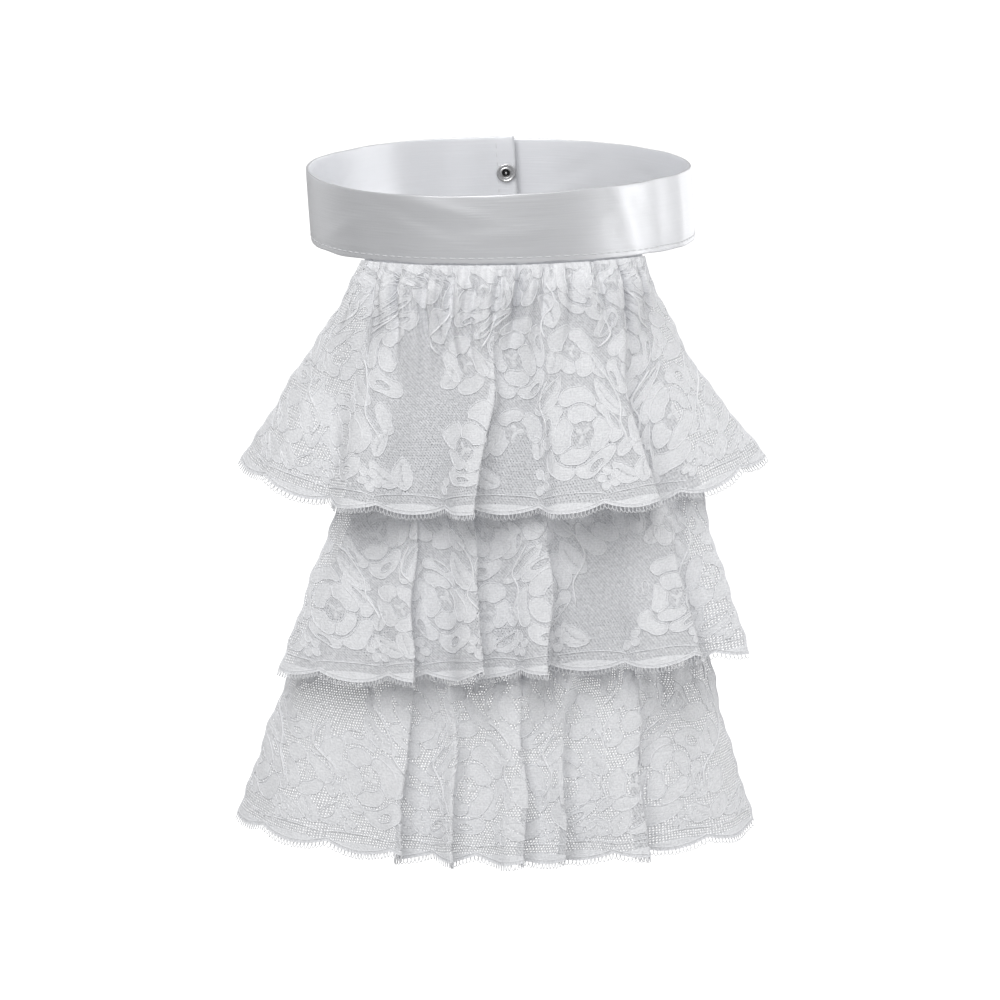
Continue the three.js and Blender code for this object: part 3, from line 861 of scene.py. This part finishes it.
def cord_piece(ruffle, shapes):
    """The thicker outline threads that run round the lace's motifs and along its edges."""
    threads = []
    for kind, outline in shapes:
        if kind not in CORD_KINDS:
            continue
        closed, radius = kind not in OPEN_ENDED, CORD_KINDS[kind]
        line = resample(outline, CORD_STEP, closed)
        h = line[:, 1]
        u, inside = ruffle.hem_length_at(line[:, 0], h)
        fits = (inside > SIDE_CLEAR) & (h < ruffle.depth - 2 * SIDE_CLEAR)
        if fits.all():
            threads.append((u, h, closed, radius))
            continue
        first = -int(np.argmin(fits)) if closed else 0
        u, h, fits = (np.roll(column, first) for column in (u, h, fits))
        for run in np.split(np.arange(len(u)), np.where(fits[1:] != fits[:-1])[0] + 1):
            if fits[run[0]] and len(run) > 3:
                threads.append((u[run], h[run], False, radius))
    u = np.arange(0, ruffle.width, CORD_STEP)
    for rise in (PICOT + 0.1, PICOT + HEM_BAND - 0.1):
        threads.append((u, ruffle.edge(u) + rise, False, CORD_RADIUS))
    h = np.arange(PICOT, ruffle.depth - 0.5, CORD_STEP)
    for side in (SIDE_CORD, ruffle.width - SIDE_CORD):
        threads.append((np.full_like(h, side), h + ruffle.edge(side), False, CORD_RADIUS))
    laid = [(*ruffle.over(u, h, CORD_LIFT), closed, radius) for u, h, closed, radius in threads]
    return thread_piece("cord_" + ruffle.name, laid, "cord")


def picot_piece(ruffle):
    """A row of small thread loops along the scalloped edge."""
    swing = np.linspace(-PICOT_TURN, np.pi + PICOT_TURN, 8)
    rng = np.random.default_rng(7)
    threads = []
    for k in range(int(ruffle.width / PICOT_PITCH)):
        reach = PICOT * (0.9 + 0.2 * rng.random()) + 0.4
        lean = 0.35 * (rng.random() - 0.5)
        u = PICOT_PITCH * (k + 0.5 + 0.5 * np.cos(swing)) + lean * np.sin(swing)
        h = ruffle.edge(u) + PICOT + PICOT_ROOT - reach * np.clip(np.sin(swing), -0.2, 1)
        u = np.clip(u, 0.05, ruffle.width - 0.05)
        twist = 0.25 * np.cos(swing)[:, None]
        threads.append((*ruffle.over(u, h, twist), False, PICOT_RADIUS))
    return thread_piece("picots_" + ruffle.name, threads, "cord", sides=3)


# ---- materials ----


WAVE_LENGTH = 0.314  # of the wave texture at a scale of 1


class Shader:
    """Nodes of a material or a world. A value is a number, a colour or another node's socket.
    Noise scales are in waves a metre, and the distances of bumps are in metres."""

    def __init__(self, name, kind="Material"):
        owners = bpy.data.worlds if kind == "World" else bpy.data.materials
        self.owner, self.kind = owners.new(name), kind
        self.owner.use_nodes = True
        self.tree = self.owner.node_tree
        self.tree.nodes.clear()

    def put(self, socket, value):
        if isinstance(value, bpy.types.NodeSocket):
            self.tree.links.new(value, socket)
        else:
            socket.default_value = value

    def add(self, kind, output=0, settings=(), **values):
        node = self.tree.nodes.new("ShaderNode" + kind)
        for key, value in dict(settings).items():
            setattr(node, key, value)
        for key, value in values.items():
            self.put(node.inputs[int(key[1:]) if key[0] == "_" else key.replace("_", " ")], value)
        return node.outputs[output]

    def multiply_add(self, value, factor, added):
        settings = {"operation": "MULTIPLY_ADD"}
        return self.add("Math", settings=settings, _0=value, _1=factor, _2=added)

    def weighted(self, *parts):
        """The sum of values, each times its share."""
        total = 0.0
        for value, share in parts:
            total = self.multiply_add(value, share, total)
        return total

    def mix(self, share, a, b):
        return self.add("Mix", output=2, settings={"data_type": "RGBA"}, _0=share, _6=a, _7=b)

    def flat(self):
        """The place in the flat cloth, in metres."""
        return self.add("Attribute", output=1, settings={"attribute_name": "flat"})

    def scaled(self, vector, scale):
        return self.add("Mapping", Vector=vector, Scale=scale)

    def threads(self, vector, pitch, axis, distortion=0.0):
        """A wave from 0 to 1 across threads of one pitch, in metres."""
        wave = {"wave_type": "BANDS", "bands_direction": axis, "wave_profile": "SIN"}
        return self.add(
            "TexWave", output=1, settings=wave, Vector=vector, Scale=WAVE_LENGTH / pitch,
            Distortion=distortion, Detail=1.0, Detail_Scale=1.0,
        )

    def noise(self, vector, scale, detail=2.0):
        return self.add("TexNoise", Vector=vector, Scale=scale, Detail=detail)

    def stretched(self, value, contrast):
        """A value near a half, spread out over 0 to 1."""
        spread = self.multiply_add(value, contrast, 0.5 - contrast / 2)
        spread.node.use_clamp = True
        return spread

    def bump(self, height, distance, strength, **values):
        return self.add("Bump", Height=height, Distance=distance, Strength=strength, **values)

    def fabric(self, base, normal, roughness, sheen, specular, translucent, **through):
        """The look of cloth or thread, with the share of light that comes through it."""
        bsdf = self.add(
            "BsdfPrincipled", Base_Color=base, Roughness=roughness, Normal=normal,
            Sheen_Weight=sheen, Sheen_Roughness=0.4, Specular_IOR_Level=specular,
        )
        glow = self.add("BsdfTranslucent", Color=base, **through)
        return self.surface(self.add("MixShader", _0=translucent, _1=bsdf, _2=glow))

    def surface(self, shader):
        node = self.tree.nodes.new("ShaderNodeOutput" + self.kind)
        self.put(node.inputs["Surface"], shader)
        return self.owner


def grey(value, cool=0.0):
    return (value * (1 - cool / 3), value, value * (1 + cool), 1)


def cloth_material(name, colour, shade, pitch, roughness, sheen, translucent):
    """Woven or knitted cloth: crossing threads, mottled knitting, and light that comes through."""
    s = Shader(name)
    flat = s.flat()
    across = s.threads(flat, pitch, "X", 1.5)
    down = s.threads(flat, pitch * 1.6, "Y", 1.5)
    mottle = s.stretched(s.noise(flat, 1400.0), 3.5)
    uneven = s.stretched(s.noise(flat, 230.0), 2.0)
    grain = s.weighted((across, 0.25), (down, 0.15), (mottle, 0.6))
    base = s.mix(s.weighted((grain, 0.75), (uneven, 0.25)), shade, colour)
    normal = s.bump(grain, 0.00018, 0.7)
    return s.fabric(base, normal, roughness, sheen, 0.3, translucent, Normal=normal)


def thread_material(name, colour, shade, roughness, translucent):
    """Thread, with the slanting lines of its twist."""
    s = Shader(name)
    flat = s.flat()
    twist = s.threads(flat, 0.0006, "DIAGONAL")
    mottle = s.stretched(s.noise(flat, 900.0), 3.0)
    base = s.mix(s.weighted((twist, 0.4), (mottle, 0.6)), shade, colour)
    return s.fabric(base, s.bump(twist, 0.00008, 0.5), roughness, 0.2, 0.4, translucent)


SATIN_GLOSS = 0.5  # share of the light that satin sends back as a mirror would


def satin_material(name, colour, shade):
    """Satin: long floats along the band, a soft gloss and faint slubs."""
    s = Shader(name)
    flat = s.flat()
    floats = s.noise(s.scaled(flat, (60.0, 1400.0, 1.0)), 1.0, 3.0)
    slubs = s.noise(s.scaled(flat, (25.0, 420.0, 1.0)), 1.0)
    tone = s.weighted((floats, 0.55), (slubs, 0.45))
    fine = s.bump(s.threads(flat, 0.00035, "X", 0.4), 0.00004, 0.35)
    return s.surface(s.add(
        "BsdfPrincipled", Base_Color=s.mix(tone, grey(shade, 0.03), grey(colour, 0.03)),
        Roughness=s.multiply_add(tone, 0.14, 0.34), Specular_IOR_Level=0.6,
        Normal=s.bump(floats, 0.00012, 0.5, Normal=fine),
        Metallic=SATIN_GLOSS, Sheen_Weight=0.1, Sheen_Roughness=0.35,
    ))


def metal_material(name, dark, bright):
    s = Shader(name)
    wear = s.noise(s.add("TexCoord", output=3), 900.0, 3.0)
    base, rough = s.mix(wear, grey(dark), grey(bright)), s.multiply_add(wear, 0.2, 0.2)
    return s.surface(s.add("BsdfPrincipled", Base_Color=base, Metallic=1.0, Roughness=rough))


FLOOR_GLOW = 1.0  # lifts the floor to the backdrop's white where it is seen


def floor_material(name):
    s = Shader(name)
    mottle = s.noise(s.add("TexCoord", output=3), 3.0)
    matt = s.add("BsdfDiffuse", Color=s.mix(mottle, grey(0.45), grey(0.5)))
    seen = s.multiply_add(s.add("LightPath"), FLOOR_GLOW, 0.0)
    glow = s.add("Emission", Color=grey(1.0), Strength=seen)
    return s.surface(s.add("AddShader", _0=matt, _1=glow))


# Cloth: colour, shade, pitch of its threads in metres, roughness, sheen and translucency.
# Thread: colour, shade, roughness and translucency.
WHITE_CLOTH = grey(1.0, 0.014), grey(0.93, 0.016)
MATERIALS = {
    "lace": cloth_material("lace", grey(1.0, 0.02), grey(0.71, 0.028), 0.0005, 0.7, 0.2, 0.1),
    # The net's twist and mottle are the thread's own; its tone, lower than the cloth's and the
    # cords', is painted shade for the dim layers seen through it and for the fold valleys.
    "net": thread_material("net", grey(0.88, 0.024), grey(0.56, 0.032), 0.7, 0.1),
    "cord": thread_material("cord", grey(1.0, 0.018), grey(0.93, 0.02), 0.5, 0.1),
    "base_cloth": cloth_material("base_cloth", *WHITE_CLOTH, 0.0006, 0.8, 0.15, 0.55),
    "satin": satin_material("satin", 0.8, 0.72),
    # The band's inner face takes a lighter copy of the same satin: painted light, for the light
    # that falls on the inside of the ring.
    "satin_inside_painted_light": satin_material("satin_inside_painted_light", 0.97, 0.91),
    "stitch": thread_material("stitch", grey(0.84, 0.02), grey(0.76, 0.02), 0.6, 0.1),
    "metal": metal_material("snap_metal", 0.45, 0.72),
    # A near-black copy of the snap's metal for the hole round its post: painted shade.
    "hole_shade_metal": metal_material("snap_hole_painted_shade", 0.02, 0.05),
    "floor": floor_material("floor"),
}

# ---- lace ruffles ----

CHART_SHIFTS = {"tier_top": 0, "tier_middle": SCALLOP, "tier_bottom": 11}


def own(piece, slot, *replaced):
    """A piece rides on the only body and stands for the nodes it replaces. Its slot is not used.
    """
    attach(piece, "root")
    if replaced:
        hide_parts(*replaced)
    return piece


def dress_ruffle(name):
    ruffle = Ruffle(name, **TIERS[name])
    shapes = laid_out(ruffle, CHART_SHIFTS[name])
    lace, flat_area = lace_piece(ruffle, shapes)
    own(lace, "lace", name)
    cords = own(cord_piece(ruffle, shapes), "lace")
    picots = own(picot_piece(ruffle), "lace")


# ---- neckband ----

BAND_ROUND = 26  # steps across one face of the band
BAND_STEP = 1.6  # along the band
STITCH_LENGTH = 2.3
STITCH_GAP = 0.9
STITCH_RADIUS = 0.17
STITCH_ARCH = 0.14  # how far a stitch's middle stands over its ends
STITCH_SINK = 0.1
EDGE_STITCHES = 1.9  # from the band's lower edge
EDGE_PUCKER = (0.16, 0.55)  # how deep and how wide the stitches draw the band in
END_STITCHES = 7.0  # from the band's inner end
END_PUCKER = (0.14, 0.6)
BAND_FOLD = 0.22  # power that squares the band's section; 1 is an ellipse
BAND_END_RADIUS = 0.7

# Soft creases in the band: place round it in degrees and share of its height, and their size.
CREASES = table(
    "angle share long short turn depth",
    (196, 0.80, 16, 2.6, 14, 0.35),
    (204, 0.62, 14, 2.2, 20, -0.22),
    (176, 0.42, 18, 3.0, -8, 0.20),
    (150, 0.55, 13, 2.4, -25, 0.30),
    (128, 0.50, 12, 2.6, 30, -0.25),
    (232, 0.45, 13, 2.6, -22, 0.28),
    (300, 0.50, 16, 3.0, 15, 0.30),
    (60, 0.50, 16, 3.0, -15, 0.30),
    (24, 0.55, 12, 2.4, 25, 0.25),
    (352, 0.5, 30, 6.0, 90, -0.5),
    (342, 0.5, 30, 5.0, 90, 0.45),
    (18, 0.5, 30, 7.0, 90, 0.45),
    (34, 0.5, 30, 6.0, 90, -0.45),
    (218, 0.45, 26, 9.0, 80, -0.5),
    (140, 0.5, 24, 4.5, 72, 0.6),
    (126, 0.5, 24, 5.0, 84, -0.6),
    (114, 0.5, 24, 4.5, 88, 0.5),
)


def crease_out(angle, share):
    """How far the soft creases move the band's face."""
    along = np.radians(angle) * BAND_RADIUS
    moved = 0.0
    for a, at, long, short, turn, depth in rows_of(CREASES):
        x = along - math.radians(a) * BAND_RADIUS
        y = (share - at) * BAND_HEIGHT
        c, s = math.cos(math.radians(turn)), math.sin(math.radians(turn))
        moved = moved + depth * bell(x * c + y * s, long) * bell(y * c - x * s, short)
    return moved


def neckband_piece():
    """The folded satin strip as a closed shell with rounded folds at its edges and ends."""
    steps = int(BAND_LENGTH / BAND_STEP)
    angle = np.linspace(*BAND_ENDS, steps + 1)
    run = np.radians(angle - BAND_ENDS[0]) * BAND_MIDDLE
    from_inner_end = BAND_LENGTH - run
    turn = np.linspace(0, 2 * np.pi, 2 * BAND_ROUND, endpoint=False)
    # A flat oval: across is the share of the height, and side is -1 inside and 1 outside.
    across = 0.5 - 0.5 * np.cos(turn)
    side = np.sign(np.sin(turn)) * np.abs(np.sin(turn)) ** BAND_FOLD
    end = rounded(np.minimum(run, from_inner_end), BAND_END_RADIUS, 0.02)
    upper, lower = band_edges(angle)
    sag = 0.12 * np.sin(run / 5.1) + 0.1 * np.sin(run / 2.9 + 1)
    z = lerp((lower + sag)[:, None], (upper - sag * 0.5)[:, None], across[None])
    pucker = EDGE_PUCKER[0] * bell(z - lower[:, None] - EDGE_STITCHES, EDGE_PUCKER[1])
    pucker *= (1 + 0.5 * np.sin(2 * np.pi * run / (STITCH_LENGTH + STITCH_GAP)))[:, None]
    pucker += (END_PUCKER[0] * bell(from_inner_end - END_STITCHES, END_PUCKER[1]))[:, None]
    thick = (BAND_WALL / 2 - pucker) * end[:, None]
    out = side[None] * thick + crease_out(angle[:, None], across[None])
    points = band_point(angle[:, None], z, out).reshape(-1, 3)
    rows = len(turn)
    quads = [grid_quads(steps + 1, rows, wrap=True)]
    for section, flipped in ((0, True), (steps, False)):  # close the two ends across the oval
        low = section * rows + np.arange(0, BAND_ROUND)
        high = section * rows + (-np.arange(0, BAND_ROUND)) % rows
        cap = joined(low[:-1], high[:-1], high[1:], low[1:])
        quads.append(cap[1:, ::-1] if flipped else cap[1:])
    quads = np.vstack(quads)
    around = np.where(turn <= np.pi, across, 2 - across) * BAND_HEIGHT
    flat = joined(run[:, None], around[None]).reshape(-1, 2)
    return make_mesh(
        "satin_neckband", points, quads, flat=flat,
        uv=flat / (BAND_LENGTH, 2 * BAND_HEIGHT) * UV_WHOLE + UV_EDGE,
        # The inner face gets the lighter satin copy: painted light on the inside of the ring.
        materials=("satin", "satin_inside_painted_light"),
        index=(quads % rows > BAND_ROUND).any(1),
    )


def stitch_row(place, length, start=0.0):
    """Stitches along place(distance), which gives points and outward directions."""
    share = np.linspace(0, 1, 6)
    lift = STITCH_ARCH * np.sin(np.pi * share) - STITCH_SINK
    pitch = STITCH_LENGTH + STITCH_GAP
    for k in range(int((length - start) / pitch)):
        point, out = place(start + k * pitch + STITCH_LENGTH * share)
        yield point + out * lift[:, None], out, False, STITCH_RADIUS


def band_stitches():
    """Stitch rows along the band's lower edge on both faces, and across its inner end."""
    stitches = []
    for face in (1, -1):
        def on_face(run, above):
            angle = BAND_ENDS[0] + np.degrees(run / BAND_MIDDLE)
            out = face * (BAND_WALL / 2 - 0.1) + crease_out(angle, above / BAND_HEIGHT)
            turn = np.radians(angle)
            way = face * joined(np.sin(turn), np.cos(turn), 0)
            return band_point(angle, band_edges(angle)[1] + above, out), way

        def at_end(at):
            return on_face(np.full_like(at, BAND_LENGTH - END_STITCHES), 1.2 + at)

        along = stitch_row(lambda at: on_face(at, EDGE_STITCHES), BAND_LENGTH - 1.5, 1.5)
        stitches += [*along, *stitch_row(at_end, BAND_HEIGHT - 2.2)]
    return thread_piece("stitches_neckband", stitches, "stitch", sides=5)


# ---- base panel ----

PANEL_TOP, PANEL_FOOT = PANEL["z"][0], PANEL["z"][-1]
PANEL_LONG = PANEL_TOP - PANEL_FOOT
PANEL_WIDE = float(np.mean(PANEL["right"] - PANEL["left"]))
PANEL_STEP = 1.9
PANEL_THICK = 0.5
PANEL_RIM = 0.8  # radius of its edges
PANEL_HEM = 5.0  # turned hem at its sides and foot
HEM_THICK = 0.13
HEM_STITCHES = PANEL_HEM - 0.8
STITCH_LIFT = 0.16
# Rows of stitches across the panel: their height, and how far they stay from its sides.
PANEL_ROWS = ((-69.2, 3), (-135.4, 3), (PANEL_FOOT + HEM_STITCHES, 4))


def panel_frame(across, z):
    """Middle points and outward directions of the panel, with slight waves."""
    point, out = panel_point(z, across)
    wave = 0.18 * np.sin(z / 9.0 + 3 * across) + 0.15 * np.sin(7 * across + z / 17)
    return point + out * wave[..., None], out


def base_panel_piece():
    columns, rows = int(PANEL_WIDE / PANEL_STEP), int(PANEL_LONG / PANEL_STEP)
    across, down = np.linspace(-1, 1, columns + 1), np.linspace(PANEL_TOP, PANEL_FOOT, rows + 1)
    s, z = np.meshgrid(across, down, indexing="ij")
    middle, out = panel_frame(s, z)
    from_edge = np.minimum((1 - np.abs(s)) * PANEL_WIDE / 2, z - PANEL_FOOT)
    hem = 1 - smoothstep(from_edge, PANEL_HEM - 0.8, PANEL_HEM + 0.4)
    half = (PANEL_THICK / 2 + HEM_THICK * hem) * rounded(from_edge, PANEL_RIM, 0.03)
    faces = [(middle + way * out * half[..., None]).reshape(-1, 3) for way in (1, -1)]
    quads = grid_quads(columns + 1, rows + 1)
    number = np.arange(s.size).reshape(s.shape)
    rim = np.concatenate([number[:, 0], number[-1, 1:], number[-2::-1, -1], number[0, -2:0:-1]])
    after = np.roll(rim, -1)
    sides = joined(rim, after, after + s.size, rim + s.size)
    flat = joined((s * PANEL_WIDE / 2).ravel(), z.ravel())
    share = joined((s.ravel() + 1) / 2, (z.ravel() - PANEL_FOOT) / PANEL_LONG)
    uv = share * (UV_HALF, UV_WHOLE) + UV_EDGE
    return make_mesh(
        "plain_base_panel", np.vstack(faces), np.vstack([quads, quads[:, ::-1] + s.size, sides]),
        flat=np.vstack([flat, flat]), uv=np.vstack([uv, uv + (0.5, 0)]),
        materials=("base_cloth",),
    )


def panel_stitches():
    """Rows of stitches: the seams of the two lower ruffles and the turned hems, on both faces."""
    stitches = []
    for face in (1, -1):
        def on_face(s, z):
            point, out = panel_frame(s, z)
            return point + out * face * (PANEL_THICK / 2 + STITCH_LIFT), out * face

        def across(at):
            return on_face(at / PANEL_WIDE * 2 - 1, np.full_like(at, height))

        def down(at):
            return on_face(np.full_like(at, side), PANEL_TOP - at)

        for height, margin in PANEL_ROWS:
            stitches += stitch_row(across, PANEL_WIDE - margin, margin)
        for side in np.array([-1, 1]) * (1 - 2 * HEM_STITCHES / PANEL_WIDE):
            stitches += stitch_row(down, PANEL_LONG - 4)
    return thread_piece("stitches_base_panel", stitches, "stitch")


# ---- ring snap ----

# Profiles hold radii, and places along Y from the inside of the neckband outwards.
SNAP_PROFILES = {
    "snap_ring": (
        (0.0, 60.25), (0.3, 60.28), (0.42, 60.45), (0.42, 60.9), (1.3, 60.95), (1.45, 60.55),
        (1.6, 60.3), (1.85, 60.26), (2.05, 60.42), (2.35, 60.46), (2.65, 60.3), (3.0, 60.2),
        (3.3, 60.34), (3.4, 60.66), (3.3, 60.92), (3.1, 61.0), (0.0, 61.0),
    ),
    "snap_cap": (
        (0.0, 66.95), (3.0, 66.95), (3.3, 67.02), (3.4, 67.22), (3.3, 67.5), (2.9, 67.75),
        (2.2, 67.9), (1.2, 67.95), (0.0, 67.95),
    ),
}
# The hole round the snap's post is given near-black metal: painted shade for the hollow.
HOLE_SHADE_STEPS = {"snap_ring": (2, 4), "snap_cap": (0, 0)}  # steps of the profile in a dark hole
SNAP_TURNS = 56


def turned_piece(name, profile, hole_shade_steps):
    """A piece turned on the snap's axis, from a profile that starts and ends on the axis."""
    radius, y = np.array(profile).T
    turn = np.linspace(0, 2 * np.pi, SNAP_TURNS, endpoint=False)
    x = SNAP_X + radius[None] * np.cos(turn)[:, None]
    z = SNAP_Z + radius[None] * np.sin(turn)[:, None]
    points = joined(x, y, z).reshape(-1, 3)
    quads = np.roll(grid_quads(SNAP_TURNS, len(y), close=True)[:, ::-1], 1, 1)
    # The steps in the hole take the near-black metal: painted shade.
    dark = np.zeros((SNAP_TURNS, len(y) - 1), int)
    dark[:, slice(*hole_shade_steps)] = 1
    materials = ("metal", "hole_shade_metal")
    return make_mesh(name, points, quads, materials=materials, index=dark.ravel())


# ---- the whole object ----

for tier in TIERS:
    dress_ruffle(tier)

band = own(neckband_piece(), "satin", "neckband")
band_threads = own(band_stitches(), "satin")

panel = own(base_panel_piece(), "base_cloth", "base_panel")
panel_threads = own(panel_stitches(), "base_cloth")

for node, profile in SNAP_PROFILES.items():
    own(turned_piece("turned_" + node, profile, HOLE_SHADE_STEPS[node]), "snap_metal", node)
for node in ("snap_socket", "snap_stud"):
    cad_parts[node].data.materials.clear()
    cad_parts[node].data.materials.append(MATERIALS["metal"])

# ---- stage, lights and camera ----

FLOOR_Z = -0.42
FLOOR_HALF = 6000.0  # half its side, in millimetres
CAMERA_PLACE = (-0.000688, -1.5, 0.236806)
CAMERA_PITCH = 12.872  # degrees down
CAMERA_ROLL = 0.214
CAMERA_LENS = 157.76  # on a 36 mm sensor
WHITE_BACKDROP = 1.0
AMBIENT = 0.41
LIGHTS_AIM = (0, 0, -0.09)
# Name, place and size in metres, and power.
LIGHTS = (
    ("key", (-0.24, -0.95, 0.8), (0.9, 0.9), 11.4),
    ("top", (0.75, -0.4, 1.2), (0.5, 0.5), 1.0),
    ("side", (1.1, -0.1, -0.1), (0.6, 0.6), 3.2),
    ("rear", (0.7, 0.95, -0.05), (0.8, 0.6), 2.8),
    ("rear_left", (-0.8, 0.7, -0.05), (0.7, 0.6), 0.8),
)


def camera():
    data = bpy.data.cameras.new("camera")
    data.lens, data.sensor_width = CAMERA_LENS, 36.0
    item = linked("camera", data)
    aim = Matrix.Rotation(math.radians(90 - CAMERA_PITCH), 4, "X")
    roll = Matrix.Rotation(math.radians(-CAMERA_ROLL), 4, "Z")
    item.matrix_world = Matrix.Translation(CAMERA_PLACE) @ aim @ roll
    bpy.context.scene.camera = item


def area_light(name, place, size, power):
    data = bpy.data.lights.new(name, "AREA")
    data.shape, data.size, data.size_y = "RECTANGLE", size[0], size[1]
    data.energy = power
    aim = (Vector(place) - Vector(LIGHTS_AIM)).to_track_quat("Z", "Y")
    turn = aim.to_matrix().to_4x4()
    linked(name, data).matrix_world = Matrix.Translation(place) @ turn


def white_world():
    """A white surround: full white where it is seen, and softer as light."""
    s = Shader("studio", "World")
    seen = s.add("LightPath")
    strength = s.add("MapRange", Value=seen, To_Min=AMBIENT, To_Max=WHITE_BACKDROP)
    shader = s.add("Background", Color=grey(1.0), Strength=strength)
    bpy.context.scene.world = s.surface(shader)


def floor():
    corners = FLOOR_HALF * np.array([(-1, -1), (1, -1), (1, 1), (-1, 1)])
    points = joined(*corners.T, FLOOR_Z / MM)
    make_mesh("floor", points, [(0, 1, 2, 3)], materials=("floor",))


camera()
white_world()
floor()
for light in LIGHTS:
    area_light(*light)
bpy.context.scene.cycles.max_bounces = 16
bpy.context.scene.cycles.diffuse_bounces = 10  # white cloth passes light on many times
bpy.context.scene.view_settings.view_transform = "Standard"
